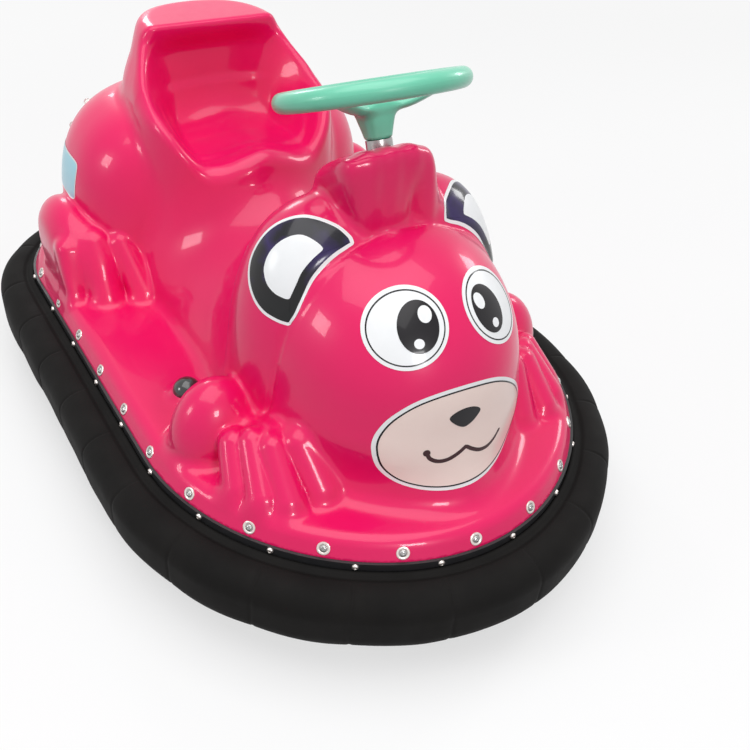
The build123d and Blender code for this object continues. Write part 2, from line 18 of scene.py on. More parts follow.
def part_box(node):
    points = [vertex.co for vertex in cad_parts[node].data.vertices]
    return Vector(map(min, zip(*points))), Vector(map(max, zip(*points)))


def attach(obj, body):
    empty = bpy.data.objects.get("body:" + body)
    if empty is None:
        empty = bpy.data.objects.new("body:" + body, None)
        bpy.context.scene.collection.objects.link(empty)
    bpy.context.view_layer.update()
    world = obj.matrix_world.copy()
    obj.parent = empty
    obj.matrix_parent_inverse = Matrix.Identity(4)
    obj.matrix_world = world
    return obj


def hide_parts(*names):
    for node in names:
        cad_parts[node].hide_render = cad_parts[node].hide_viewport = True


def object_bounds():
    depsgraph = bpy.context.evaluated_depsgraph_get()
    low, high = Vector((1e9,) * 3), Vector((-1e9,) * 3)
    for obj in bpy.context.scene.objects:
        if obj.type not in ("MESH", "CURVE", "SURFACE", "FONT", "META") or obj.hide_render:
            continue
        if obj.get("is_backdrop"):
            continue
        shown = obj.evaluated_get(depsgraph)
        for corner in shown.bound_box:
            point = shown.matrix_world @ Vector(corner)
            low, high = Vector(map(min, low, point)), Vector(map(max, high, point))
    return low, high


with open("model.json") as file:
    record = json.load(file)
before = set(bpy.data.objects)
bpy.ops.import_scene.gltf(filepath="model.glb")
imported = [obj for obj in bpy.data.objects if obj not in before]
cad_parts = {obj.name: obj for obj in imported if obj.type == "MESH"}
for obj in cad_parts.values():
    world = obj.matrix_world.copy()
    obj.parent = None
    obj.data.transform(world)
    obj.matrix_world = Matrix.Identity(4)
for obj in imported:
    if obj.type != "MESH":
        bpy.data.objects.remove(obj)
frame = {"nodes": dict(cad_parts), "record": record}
nodes = frame["nodes"]
cad_low, cad_high = (list(corner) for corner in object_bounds())
print("CAD box from", np.round(cad_low, 4), "to", np.round(cad_high, 4))

# %% [markdown]
# ## The camera
#
# The view is from the front right of the car and well above it, a little
# rolled. A camera looks along its own -Z, so its turn is written as three
# rows: its right, its up, and the direction back from what it looks at.

# %% Set the camera
AZIMUTH, ELEVATION, ROLL = map(math.radians, (-35.16, 38.98, 5.23))
back = Vector((math.sin(AZIMUTH) * math.cos(ELEVATION),
               -math.cos(AZIMUTH) * math.cos(ELEVATION), math.sin(ELEVATION)))
level_right = Vector((math.cos(AZIMUTH), math.sin(AZIMUTH), 0.0))
level_up = back.cross(level_right)
right = level_right * math.cos(ROLL) + level_up * math.sin(ROLL)
up = level_up * math.cos(ROLL) - level_right * math.sin(ROLL)

lens = bpy.data.cameras.new("camera")
camera = bpy.data.objects.new("camera", lens)
bpy.context.scene.collection.objects.link(camera)
turn = Matrix((right, up, back)).transposed()
camera.matrix_world = Matrix.Translation((-0.5937, -1.0900, 1.0443)) @ turn.to_4x4()
lens.sensor_width = 36.0
lens.lens = 43.95
lens.shift_x = -0.00567
lens.shift_y = 0.02031
lens.clip_start = 0.05
bpy.context.scene.camera = camera
print("camera at", tuple(round(v, 3) for v in camera.location))

# %% [markdown]
# ## Shapes as distance functions
#
# A moulding whose forms run into each other is hard to build from patches.
# Here each form is a function that is negative inside and positive outside,
# and about equal to the distance from its surface. Two forms blend with a
# smooth minimum: the lower of the two, less a small hump of width k where they
# are nearly equal. That hump is the fillet.

# %% Smooth joins
def smooth_min(a, b, k):
    """The lower of a and b, less h^2 k/4, where h falls from 1 to 0 as they part by k."""
    h = np.maximum(k - np.abs(a - b), 0.0) / k
    return np.minimum(a, b) - h * h * k * 0.25


def smooth_max(a, b, k):
    """The higher of a and b, rounded the same way."""
    return -smooth_min(-a, -b, k)


def ramp(t, start, end):
    """0 before start, 1 after end, and 3s^2 - 2s^3 between."""
    s = np.clip((t - start) / (end - start), 0.0, 1.0)
    return s * s * (3.0 - 2.0 * s)


def through(t, at, values):
    """A smooth curve through the values: a cubic in each gap, sloped as the neighbours' chord."""
    at, values = np.asarray(at, float), np.asarray(values, float)
    slope = np.gradient(values, at)
    slope[0] = slope[-1] = 0.0
    t = np.clip(t, at[0], at[-1])
    i = np.clip(np.searchsorted(at, t) - 1, 0, len(at) - 2)
    h = at[i + 1] - at[i]
    s = (t - at[i]) / h
    return ((2 * s**3 - 3 * s**2 + 1) * values[i] + (s**3 - 2 * s**2 + s) * h * slope[i]
            + (3 * s**2 - 2 * s**3) * values[i + 1] + (s**3 - s**2) * h * slope[i + 1])


def ellipsoid(x, y, z, centre, radii):
    """k0 (k0 - 1) / k1, with k0 the length of p over the radii and k1 over their squares."""
    u, v, w = ((p - c) / r for p, c, r in zip((x, y, z), centre, radii))
    k0 = np.sqrt(u * u + v * v + w * w)
    k1 = np.sqrt((u / radii[0])**2 + (v / radii[1])**2 + (w / radii[2])**2)
    return k0 * (k0 - 1.0) / np.maximum(k1, 1e-9)


def stick(x, y, z, a, b, ra, rb):
    """The distance to the segment from a to b, less a radius that runs from ra to rb."""
    ab = np.subtract(b, a)
    t = np.clip(((x - a[0]) * ab[0] + (y - a[1]) * ab[1] + (z - a[2]) * ab[2]) / float(ab @ ab), 0, 1)
    gap = (x - a[0] - t * ab[0])**2 + (y - a[1] - t * ab[1])**2 + (z - a[2] - t * ab[2])**2
    return np.sqrt(gap) - (ra + t * (rb - ra))


def level(gauge, x, y, z, e=0.0005):
    """The distance to where a gauge is 1: the gauge less 1, over the length of its gradient."""
    m = gauge(x, y, z)
    slopes = [(moved - m) / e for moved in (gauge(x + e, y, z), gauge(x, y + e, z), gauge(x, y, z + e))]
    return (m - 1.0) / np.maximum(np.sqrt(sum(s * s for s in slopes)), 2.0)


# %% [markdown]
# ## The deck and its rim
#
# Seen from above the moulding is a rounded slab: a nose arc, two shoulder
# arcs, straight sides, two corner arcs and a nearly flat tail. The rim leans
# inwards as it rises. The half width and the heights are read from the CAD
# deck, so the two agree.

# %% The outline of the deck
deck_low, deck_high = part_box("shell_deck")
HALF_WIDTH = deck_high[0]
SKIRT, DECK = deck_low[2], deck_high[2]
INSET = 0.0145
NOSE_R, SHOULDER_R, SHOULDER_Y = 0.281, 0.364, -0.170
SIDE_END_Y, CORNER_R, TAIL_R = 0.322, 0.190, 0.860
nose_y = SHOULDER_Y - math.sqrt((SHOULDER_R - NOSE_R)**2 - (HALF_WIDTH - SHOULDER_R)**2)
corner_rise = math.sqrt((TAIL_R - CORNER_R)**2 - (HALF_WIDTH - CORNER_R)**2)
tail_y = SIDE_END_Y - corner_rise


def plan(x, y):
    """The distance outside the outline, taken from the arc in whose sector the point lies."""
    ax = np.abs(x)
    shoulder = np.hypot(ax - (HALF_WIDTH - SHOULDER_R), y - SHOULDER_Y) - SHOULDER_R
    nose = np.hypot(ax, y - nose_y) - NOSE_R
    corner = np.hypot(ax - (HALF_WIDTH - CORNER_R), y - SIDE_END_Y) - CORNER_R
    tail = np.hypot(ax, y - tail_y) - TAIL_R
    across, along = SHOULDER_R - HALF_WIDTH, nose_y - SHOULDER_Y
    in_nose = across * (y - SHOULDER_Y) - along * (ax + across) < 0
    in_tail = (HALF_WIDTH - CORNER_R) * (y - tail_y) - corner_rise * ax > 0
    d = np.where(y < SHOULDER_Y, np.where(in_nose, nose, shoulder), ax - HALF_WIDTH)
    return np.where(y > SIDE_END_Y, np.where(in_tail, tail, corner), d)


def deck(x, y, z):
    """Below the deck's top and inside the leaning rim."""
    lean = INSET / (DECK - SKIRT)
    rim = (plan(x, y) + lean * (z - SKIRT)) / math.sqrt(1 + lean * lean)
    return smooth_max(z - DECK, rim, 0.012)


print("deck from z", round(SKIRT, 3), "to", round(DECK, 3))

# %% [markdown]
# ## Head, cowl and tuft
#
# The head is a dome with a slightly squared plan that widens towards the deck.
# The cowl behind it is a wide rounded barrel that carries the steering column,
# and where the two meet there is a narrow crease across the whole car. The
# tuft is one squared block of hair with faint ribs. Each is given by a gauge:
# a sum of powers that is 1 on the surface and less inside.

# %% Head and cowl
CREASE_Y = -0.264
HEAD_Y, HEAD_HALF_WIDTH, HEAD_HALF_LENGTH = -0.21928, 0.17764, 0.22316
HEAD_SPRING, HEAD_RISE, HEAD_FLARE = 0.29585, 0.19135, 0.31
COWL_Y, COWL_HALF_LENGTH, COWL_TOP = -0.1955, 0.1495, 0.5133


def head_gauge(x, y, z):
    """A dome above its spring line, flared below it. Towards the foot the plan's corners grow
    less full, which leaves room for the fists."""
    rise = np.clip(z - HEAD_SPRING, 0, None) / HEAD_RISE
    fall = 0.5 * ((HEAD_SPRING - z) + np.sqrt((HEAD_SPRING - z)**2 + 0.03**2)) - 0.002
    foot = 0.00982 * np.clip(1 - (z - DECK) / 0.060, 0, 1.5)**2
    a = HEAD_HALF_WIDTH + HEAD_FLARE * fall + foot
    b = HEAD_HALF_LENGTH + HEAD_FLARE * fall + foot
    full = 2.16 - 0.52 * ramp(0.29 - z, 0.0, 0.09)
    r = (np.abs(x) / a)**full + (np.abs(y - HEAD_Y) / b)**full
    return (r**(2.14 / full) + rise**2.14)**(1 / 2.14)


def cowl_gauge(x, y, z):
    """A barrel across the car, wider towards its foot."""
    u = np.abs(x) / (0.1962 + 0.045 * np.clip(0.45 - z, 0, 0.3))
    v = np.clip(z - DECK, 0, None) / (COWL_TOP - DECK)
    w = np.abs(y - COWL_Y) / COWL_HALF_LENGTH
    return np.sqrt((u**3.88 + v**3.37)**(2 / 3.88) + w * w)


# %% The tuft
TUFT_X, TUFT_Y, TUFT_Z = 0.0033, -0.1927, 0.485
TUFT_LEAN, TUFT_SLOPE = 0.274, 0.622
TUFT_RADII = (0.0693, 0.0717, 0.0718)
VALLEY_X = 0.016


def tuft_gauge(x, y, z):
    """A squared ball whose top slopes down to the rear and which leans to the right as it rises."""
    u, v = x - TUFT_X + TUFT_LEAN * (z - 0.5), y - TUFT_Y
    rise = np.clip(z - TUFT_Z + TUFT_SLOPE * v, 0, None)
    return sum((np.abs(p) / r)**4.6 for p, r in zip((u, v, rise), TUFT_RADII))**(1 / 4.6)


def tuft(x, y, z):
    """The ball with soft ribs down its front and one deeper valley that parts it near the left."""
    ribs = 0.0009 * np.cos(2 * np.pi * (x + 0.016) / 0.030)
    valley = 0.0085 * np.exp(-((x - VALLEY_X) / 0.011)**2) * (1 - ramp(z, 0.500, 0.575))
    return smooth_max(level(tuft_gauge, x, y, z) - ribs + valley, 0.44 - z, 0.01)


# %% [markdown]
# ## Seat, tank and rump
#
# The seat is a bucket: a height is worked out for every point of the plan, low
# in the pan and rising to a rounded ridge, and the tower is what lies below
# that height and inside the leaning sides. The tank between the rider's legs
# and the rump behind the seat are plain rounded forms that blend in.

# %% The bucket seat
SEAT_TOP = 0.568
BACK_Y = 0.316
TOWER_FRONT_Y, TOWER_REAR_Y = 0.104, 0.421


def ridge_height(y):
    """The seat's ridge, from the front lip to the top of the back."""
    return through(y, [0.085, 0.115, 0.145, 0.190, 0.250, 0.290, 0.320, 0.345, 0.40],
                   [0.438, 0.448, 0.462, 0.477, 0.491, 0.506, 0.526, 0.556, SEAT_TOP])


def tower_half_width(z):
    return through(z, [DECK, 0.30, 0.44, 0.487, 0.527, SEAT_TOP],
                   [0.190, 0.180, 0.163, 0.153, 0.134, 0.120])


def seat_top(x, y):
    """The pan's height, rising to the ridge as the point nears the ridge's line."""
    ax = np.abs(x)
    lip = through(ax, [0, 0.035, 0.07, 0.10, 0.15], [0.426, 0.417, 0.405, 0.405, 0.408])
    deep = through(ax, [0, 0.05, 0.10, 0.15], [0.404, 0.400, 0.402, 0.406])
    t = ramp(y, 0.11, 0.20)
    pan = lip * (1 - t) + deep * t + 0.10 * np.clip(y - 0.24, 0, 1)
    ridge_x = through(y, [0.08, 0.12, 0.20, 0.28, 0.34], [0.150, 0.150, 0.146, 0.132, 0.114])
    s = ramp(ax / ridge_x, 0.56, 1.04)
    return pan + (ridge_height(y) - pan) * s


def back_rest(x, z):
    """The back rest's y: nearly upright, wrapped round the rider low down, with a lip at the top."""
    lip = ramp(z, 0.515, 0.562)
    wrap = np.clip(np.abs(x) / 0.130, 0, 1.1)**3
    return BACK_Y + 0.10 * np.clip(z - 0.47, -0.1, 0.1) - 0.026 * lip - 0.040 * wrap * (1 - lip)


def tower(x, y, z):
    """Inside the flanks, the curved rear and the front, and below the seat or behind the back rest."""
    ax = np.abs(x)
    flank = (ax - tower_half_width(z) + 0.10 * np.clip(y - 0.25, 0, 1)) * 0.97
    rear = (y - (TOWER_REAR_Y + 0.29 * np.clip(0.52 - z, 0, 0.4) - 3.5 * ax * ax)) * 0.85
    front = (TOWER_FRONT_Y + 2.6 * ax * ax - y) * 0.8
    sides = smooth_max(smooth_max(flank, rear, 0.04), front, 0.050)
    below = (z - seat_top(x, y)) * 0.75
    behind = (back_rest(x, z) - y) * 0.85
    inside = smooth_max(smooth_min(below, behind, 0.055), z - SEAT_TOP, 0.007)
    return smooth_max(sides, inside, 0.022)


# %% Tank and rump
TANK_HALF_WIDTH, TANK_TOP = 0.188, 0.345
RUMP_Y, RUMP_HALF_WIDTH, RUMP_HALF_LENGTH, RUMP_RISE = 0.321, 0.263, 0.1715, 0.2776


def tank_gauge(x, y, z):
    """A ridge along the car whose section is between a tent and an arch."""
    u, v = np.abs(x) / TANK_HALF_WIDTH, np.clip(z - DECK, 0, None) / (TANK_TOP - DECK)
    return (u**1.5 + v**1.5)**(1 / 1.5)


def tank(x, y, z):
    return smooth_max(smooth_max(level(tank_gauge, x, y, z), y - 0.25, 0.02), -0.15 - y, 0.02)


def rump_gauge(x, y, z):
    """A dome with a squared plan and a flat top."""
    r = (np.abs(x) / RUMP_HALF_WIDTH)**2.445 + (np.abs(y - RUMP_Y) / RUMP_HALF_LENGTH)**2.445
    return (r**(3.78 / 2.445) + (np.clip(z - DECK, 0, None) / RUMP_RISE)**3.78)**(1 / 3.78)


# %% [markdown]
# ## Paws
#
# Each hind paw is two balls with three broad toes that hang down in front.
# Each front paw is an arm and a fist with four fingers that reach down to the
# rim. Only one side is described: x is taken without its sign. A digit is its
# knuckle, its tip and the radius at both.

# %% Paws
def digits(x, y, z, table, join):
    """Round sticks from knuckle to tip, joined by narrow valleys."""
    d = None
    for knuckle, tip, radii in table:
        f = stick(x, y, z, knuckle, tip, *radii)
        d = f if d is None else smooth_min(d, f, join)
    return d


TOES = (((0.296, 0.236, 0.256), (0.300, 0.216, 0.190), (0.0215, 0.0285)),
        ((0.252, 0.227, 0.264), (0.255, 0.186, 0.190), (0.0230, 0.0285)),
        ((0.213, 0.212, 0.264), (0.197, 0.170, 0.190), (0.0215, 0.0295)))
FINGERS = (((0.241, -0.274, 0.229), (0.253, -0.314, 0.190), (0.0215, 0.0240)),
           ((0.222, -0.291, 0.237), (0.235, -0.347, 0.190), (0.0215, 0.0250)),
           ((0.2045, -0.314, 0.238), (0.209, -0.366, 0.190), (0.0215, 0.0240)),
           ((0.1700, -0.322, 0.239), (0.1620, -0.362, 0.190), (0.0280, 0.0310)))


def rear_paw(x, y, z):
    ax = np.abs(x)
    d = ellipsoid(ax, y, z, (0.245, 0.270, 0.205), (0.076, 0.090, 0.090))
    d = smooth_min(d, ellipsoid(ax, y, z, (0.272, 0.300, 0.235), (0.048, 0.092, 0.075)), 0.014)
    d = smooth_min(d, digits(ax, y, z, TOES, 0.004), 0.010)
    return smooth_max(d, plan(x, y) + INSET, 0.008)


ARM_X, ARM_Y, ARM_TURN = 0.2379, -0.2102, math.radians(83.3)


def front_paw(x, y, z):
    """The arm is an ellipsoid whose own axes are turned about the vertical."""
    ax = np.abs(x)
    c, s = math.cos(ARM_TURN), math.sin(ARM_TURN)
    u, v = ax - ARM_X, y - ARM_Y
    arm = ellipsoid(u * c + v * s, v * c - u * s, z, (0, 0, 0.190), (0.0548, 0.0677, 0.0950))
    fist = ellipsoid(ax, y, z, (0.190, -0.296, 0.198), (0.0540, 0.0560, 0.0620))
    d = smooth_min(arm, fist, 0.030)
    d = smooth_min(d, digits(ax, y, z, FINGERS, 0.003), 0.006)
    return smooth_max(d, plan(x, y) + 0.003, 0.008)


# %% [markdown]
# ## The whole moulding
#
# The forms are joined one after the other, each with its own width of fillet.
# The rump is first hollowed by the space of the seat's bucket, and the deck
# gets a small raised pad under the foot button.

# %% Join the forms
button_low, button_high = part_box("foot_button")
BUTTON_X, BUTTON_Y = (button_low[0] + button_high[0]) / 2, (button_low[1] + button_high[1]) / 2


def rump(x, y, z):
    """The dome less the bucket: above the seat, before the back rest and between the flanks."""
    ax = np.abs(x)
    bucket = np.maximum((seat_top(x, y) - z) * 0.75, (y - back_rest(x, z)) * 0.85)
    bucket = np.maximum(bucket, ax - tower_half_width(z) + 0.02)
    return smooth_max(level(rump_gauge, x, y, z), -bucket, 0.01)


def button_pad(x, y, z):
    return smooth_max(np.hypot(x - BUTTON_X, y - BUTTON_Y) - 0.0200, z - DECK - 0.0052, 0.004)


def moulding(x, y, z):
    d = smooth_min(level(cowl_gauge, x, y, z), level(head_gauge, x, y, z), 0.006)
    d = d + 0.0025 * np.exp(-((y - CREASE_Y) / 0.004)**2)
    d = smooth_min(d, tuft(x, y, z), 0.013)
    seat = smooth_min(tank(x, y, z), tower(x, y, z), 0.09)
    d = smooth_min(d, seat, 0.05)
    d = smooth_min(d, rump(x, y, z), 0.012)
    d = smooth_min(d, rear_paw(x, y, z), 0.008)
    d = smooth_min(d, front_paw(x, y, z), 0.012)
    d = smooth_min(d, button_pad(x, y, z), 0.004)
    return smooth_min(deck(x, y, z), d, 0.018)


def gradient(x, y, z, e=0.0003):
    """Central differences, as rows of three."""
    return np.stack([moulding(x + e, y, z) - moulding(x - e, y, z),
                     moulding(x, y + e, z) - moulding(x, y - e, z),
                     moulding(x, y, z + e) - moulding(x, y, z - e)], 1) / (2 * e)


# %% [markdown]
# ## From a function to a mesh
#
# The moulding is sampled on a grid. Every cell that the surface crosses gets
# one vertex, at the mean of the crossings on its edges, and every grid edge
# that it crosses gets one face between the four cells around it. The vertices
# are then moved down the gradient until they lie on the surface itself.

# %% Surface net
SLAB = 24


def surface_net(field, low, high, cell):
    """(vertices, four-sided faces) of field = 0 over a box of cubic cells."""
    axes = [np.arange(a, b + cell, cell) for a, b in zip(low, high)]
    slabs = [axes[0][i:i + SLAB, None, None] for i in range(0, len(axes[0]), SLAB)]
    f = np.concatenate([field(slab, axes[1][None, :, None], axes[2][None, None, :]) for slab in slabs])
    f = f.astype(np.float32)
    inside = f < 0
    n = [s - 1 for s in f.shape]
    corners = [(a, b, c) for a in (0, 1) for b in (0, 1) for c in (0, 1)]
    full = sum(inside[a:a + n[0], b:b + n[1], c:c + n[2]].astype(np.int8) for a, b, c in corners)
    cells = np.stack(np.nonzero((full > 0) & (full < 8)), 1)
    number = np.full(n, -1, np.int32)
    number[tuple(cells.T)] = np.arange(len(cells))
    total, count = np.zeros((len(cells), 3)), np.zeros(len(cells))
    for axis in range(3):
        step = np.eye(3, dtype=int)[axis]
        for corner in corners:
            if corner[axis]:
                continue
            start = cells + np.array(corner)
            a, b = f[tuple(start.T)], f[tuple((start + step).T)]
            crossed = (a < 0) != (b < 0)
            t = np.where(crossed, a / np.where(crossed, a - b, 1), 0)
            total += crossed[:, None] * (start + t[:, None] * step)
            count += crossed
    vertices = np.array(low) + cell * total / count[:, None]
    faces = []
    for axis in range(3):
        one, two = np.eye(3, dtype=int)[(axis + 1) % 3], np.eye(3, dtype=int)[(axis + 2) % 3]
        here = tuple(slice(0 if k == axis else 1, n[k]) for k in range(3))
        there = tuple(slice(s.start + (k == axis), s.stop + (k == axis)) for k, s in enumerate(here))
        a, b = inside[here], inside[there]
        at = np.stack(np.nonzero(a != b), 1) + np.array([0 if k == axis else 1 for k in range(3)])
        quad = np.stack([number[tuple((at - one - two).T)], number[tuple((at - two).T)],
                         number[tuple(at.T)], number[tuple((at - one).T)]], 1)
        outward = inside[tuple(at.T)]
        faces.append(np.where(outward[:, None], quad, quad[:, ::-1]))
    return vertices, np.concatenate(faces)


CELL = 0.0045
low = np.array([cad_low[0], cad_low[1], SKIRT]) + [0.05, 0.05, -1.5 * CELL]
low[1] = CREASE_Y - CELL * (round((CREASE_Y - low[1]) / CELL) + 0.5)
high = np.array([cad_high[0] - 0.05, cad_high[1] - 0.05, 0.60])


def closed_below(x, y, z):
    return smooth_max(moulding(x, y, z), SKIRT - z, 0.0005)


skin_points, skin_faces = surface_net(closed_below, low, high, CELL)
print("skin:", len(skin_points), "vertices,", len(skin_faces), "faces")

# %% Settle the vertices on the surface
def settle(points, steps=3):
    """p less f(p) times the gradient over its squared length, at most half a cell a step."""
    p = points.copy()
    for _ in range(steps):
        g = gradient(*p.T)
        move = g * (moulding(*p.T) / np.maximum((g * g).sum(1), 0.05))[:, None]
        size = np.linalg.norm(move, axis=1, keepdims=True)
        p -= move * np.minimum(1, 0.5 * CELL / np.maximum(size, 1e-9))
    return p


at_rim = skin_points[:, 2] < SKIRT + 0.4 * CELL
skin_points = settle(skin_points)
skin_points[at_rim, 2] = SKIRT
skin_normals = gradient(*skin_points.T)
skin_normals[at_rim, 2] = 0
skin_normals /= np.maximum(np.linalg.norm(skin_normals, axis=1, keepdims=True), 1e-9)
underside = at_rim[skin_faces].all(1)
skin_faces = skin_faces[~underside]
print("open at the bottom, with", int(underside.sum()), "faces taken out")

# %% [markdown]
# ## The wall of the moulding
#
# Glass fibre mouldings are a few millimetres thick and open underneath. The
# inner face is the outer one moved in along its normals, and quads close the
# two along every open edge. The moulding is made in two lengths so that
# neither mesh is too heavy; they share their edge and its normals, so no line
# shows.

# %% Mesh helpers
def new_object(name, points, faces, normals=None, smooth=True):
    """A mesh object at the origin from arrays, with its own normals where they are given."""
    mesh = bpy.data.meshes.new(name)
    mesh.from_pydata(points.tolist(), [], faces if isinstance(faces, list) else faces.tolist())
    mesh.polygons.foreach_set("use_smooth", np.full(len(mesh.polygons), smooth))
    if normals is not None:
        mesh.normals_split_custom_set_from_vertices(normals.tolist())
    elif smooth:
        mesh.set_sharp_from_angle(angle=math.radians(38))
    mesh.update()
    made = bpy.data.objects.new(name, mesh)
    bpy.context.scene.collection.objects.link(made)
    return made


def grid_faces(rows, columns, closed):
    """The quads of a grid of numbers, the columns running round and the rows outwards."""
    i, j = np.meshgrid(np.arange(rows - 1), np.arange(columns if closed else columns - 1), indexing="ij")
    a, b = (i * columns + j).ravel(), (i * columns + (j + 1) % columns).ravel()
    return np.stack([a, a + columns, b + columns, b], 1)


def open_edges(faces):
    """The directed edges that only one face has."""
    edges = np.concatenate([np.stack([faces[:, i], faces[:, (i + 1) % faces.shape[1]]], 1)
                            for i in range(faces.shape[1])])
    key = edges[:, 0].astype(np.int64) * (edges.max() + 1) + edges[:, 1]
    back_key = edges[:, 1].astype(np.int64) * (edges.max() + 1) + edges[:, 0]
    return edges[~np.isin(key, back_key)]


WALL = 0.005


def walled(points, normals, faces, wall=WALL):
    """Outer face, inner face turned round, and a strip along every open edge."""
    used, faces = np.unique(faces, return_inverse=True)
    faces = faces.reshape(-1, 4)
    outer, out = points[used], normals[used]
    count = len(outer)
    edge = open_edges(faces)
    strip = np.stack([edge[:, 1], edge[:, 0], edge[:, 0] + count, edge[:, 1] + count], 1)
    return (np.concatenate([outer, outer - wall * out]), np.concatenate([out, -out]),
            np.concatenate([faces, faces[:, ::-1] + count, strip]))


# %% Build the moulding
SPLIT_Y = 0.02
middle = skin_points[skin_faces].mean(1)[:, 1]
shell_pieces = []
for name, chosen in (("moulding_front", middle < SPLIT_Y), ("moulding_rear", middle >= SPLIT_Y)):
    points, normals, faces = walled(skin_points, skin_normals, skin_faces[chosen])
    piece = new_object(name, points, faces, normals)
    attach(piece, "car")
    shell_pieces.append(piece)
    print(name, len(faces) * 2, "triangles")
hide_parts("shell_deck", "head_dome", "cowl", "hair_tuft", "saddle",
            "front_paw_right", "front_paw_left")
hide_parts("seat_tower", "rump", "rear_paw_right", "rear_paw_left")

# %% [markdown]
# ## Finishes
#
# A finish is a tree of shader nodes. Written node by node it is long and hard
# to read, so one small class wraps a socket: sums of sockets add Math nodes,
# and one method adds any other node.

# %% A class for shader sums
class Wire:
    """A socket of a node tree that can stand in a sum."""

    def __init__(self, tree, socket=None):
        self.tree, self.socket = tree, socket

    def node(self, kind, links=None, out=0, **settings):
        """A node of that kind: its settings first, then the values or wires of its sockets."""
        made = self.tree.nodes.new("ShaderNode" + kind)
        stops = settings.pop("stops", None)
        for key, value in settings.items():
            setattr(made, key, value)
        if stops:
            ramp_stops = made.color_ramp.elements
            while len(ramp_stops) < len(stops):
                ramp_stops.new(0.5)
            for element, (at, colour) in zip(ramp_stops, stops):
                element.position, element.color = at, (*colour, 1)
        for key, value in (links or {}).items():
            if isinstance(value, Wire):
                self.tree.links.new(value.socket, made.inputs[key])
            else:
                made.inputs[key].default_value = value
        return Wire(self.tree, made.outputs[out])

    def math(self, operation, other):
        return self.node("Math", {0: self, 1: other}, operation=operation)

    def __add__(self, other): return self.math("ADD", other)
    def __sub__(self, other): return self.math("SUBTRACT", other)
    def __mul__(self, other): return self.math("MULTIPLY", other)
    __radd__, __rmul__ = __add__, __mul__


def linear(red, green, blue):
    """A colour from screen numbers 0 to 255 to the linear values that shaders use."""
    part = np.array([red, green, blue]) / 255
    return tuple(np.where(part <= 0.04045, part / 12.92, ((part + 0.055) / 1.055)**2.4).tolist())


def finish(name, colour, roughness, height=None, strength=0.1, distance=0.001, metallic=None, **fixed):
    """A Principled material. colour, roughness, height and metallic may vary; the rest is fixed."""
    material = bpy.data.materials.new(name)
    material.use_nodes = True
    tree = material.node_tree
    shader = tree.nodes["Principled BSDF"]
    start = Wire(tree)
    place = start.node("TexCoord", out=3)
    for socket, value in (("Base Color", colour), ("Roughness", roughness), ("Metallic", metallic)):
        value = value(place) if callable(value) else value
        if isinstance(value, Wire):
            tree.links.new(value.socket, shader.inputs[socket])
        elif value is not None:
            shader.inputs[socket].default_value = (*value, 1) if socket == "Base Color" else value
    if height:
        bump = start.node("Bump", {"Strength": strength, "Distance": distance, "Height": height(place)})
        tree.links.new(bump.socket, shader.inputs["Normal"])
    for socket, value in fixed.items():
        shader.inputs[socket.replace("_", " ").title().replace("Ior", "IOR")].default_value = value
    return material


def noise(place, scale, detail=2.0, roughness=0.5):
    """Blender's noise on the object's own coordinates, between 0 and 1."""
    return place.node("TexNoise", {"Vector": place, "Scale": scale, "Detail": detail, "Roughness": roughness})


def blend_colour(mask, first, second):
    """first where mask is 0 and second where it is 1."""
    return mask.node("Mix", {0: mask, 6: (*first, 1), 7: (*second, 1)}, out=2, data_type="RGBA")


def dusty(low_colour, high_colour, scale):
    """A colour that drifts between two by noise."""
    return lambda place: blend_colour(noise(place, scale, 5.0, 0.6), low_colour, high_colour)


def uneven(base, gain, scale, detail=2.0):
    """A roughness from base to base + gain by noise."""
    return lambda place: noise(place, scale, detail) * gain + base


def bumps(scale, detail=2.0):
    return lambda place: noise(place, scale, detail)


# %% [markdown]
# ## Pink gel coat
#
# The moulding's skin is a thick glossy gel coat. It is deep where it is seen
# square on, with a clear hard gloss on top, a faint mottle from the mould and
# very fine scratches from use.

# %% Gel coat
PINK, DEEP_PINK = linear(229, 14, 98), linear(220, 2, 88)


def gel_colour(place):
    cloud = noise(place, 9.0, 3.0)
    speck = noise(place, 260.0, 2.0)
    return blend_colour(cloud * 0.7 + speck * 0.3, DEEP_PINK, PINK)


def gel_height(place):
    return noise(place, 42.0, 1.0) + noise(place, 420.0, 1.0) * 0.12


gel_coat = finish("pink gel coat", gel_colour, uneven(0.26, 0.12, 60.0, 4.0), gel_height, 0.10, 0.0012,
                  coat_weight=0.4, coat_roughness=0.05, specular_ior_level=0.25)
for piece in shell_pieces:
    piece.data.materials.append(gel_coat)

# %% [markdown]
# ## Rubber, paint, steel and plastics
#
# The bumper is a black rubber ring, dull and a little grey on top from dust.
# The band, frame and fork are painted steel, the shaft and axle are bright,
# and the steering wheel is moulded in mint green.

# %% The other finishes
rubber = finish("black rubber", dusty(linear(9, 9, 9), linear(24, 22, 21), 14.0),
                uneven(0.62, 0.2, 25.0, 4.0), bumps(300.0, 3.0), 0.25, 0.0006, specular_ior_level=0.12)
tyre_rubber = finish("tyre rubber", dusty(linear(30, 30, 30), linear(58, 56, 53), 30.0),
                     uneven(0.65, 0.2, 60.0), bumps(500.0), 0.3, 0.0005)
black_paint = finish("black paint", dusty(linear(24, 24, 26), linear(40, 40, 42), 20.0),
                     uneven(0.35, 0.2, 80.0, 3.0), bumps(350.0), 0.15, 0.0005)
frame_paint = finish("dark grey paint", dusty(linear(62, 63, 66), linear(84, 84, 86), 12.0),
                     uneven(0.4, 0.2, 60.0, 3.0), bumps(400.0), 0.15, 0.0004)


def brushed(place):
    """Noise stretched across x, like the lines that a belt leaves."""
    lines = place.node("Mapping", {"Vector": place, "Scale": (900.0, 40.0, 40.0)})
    return noise(lines, 1.0, 2.0)


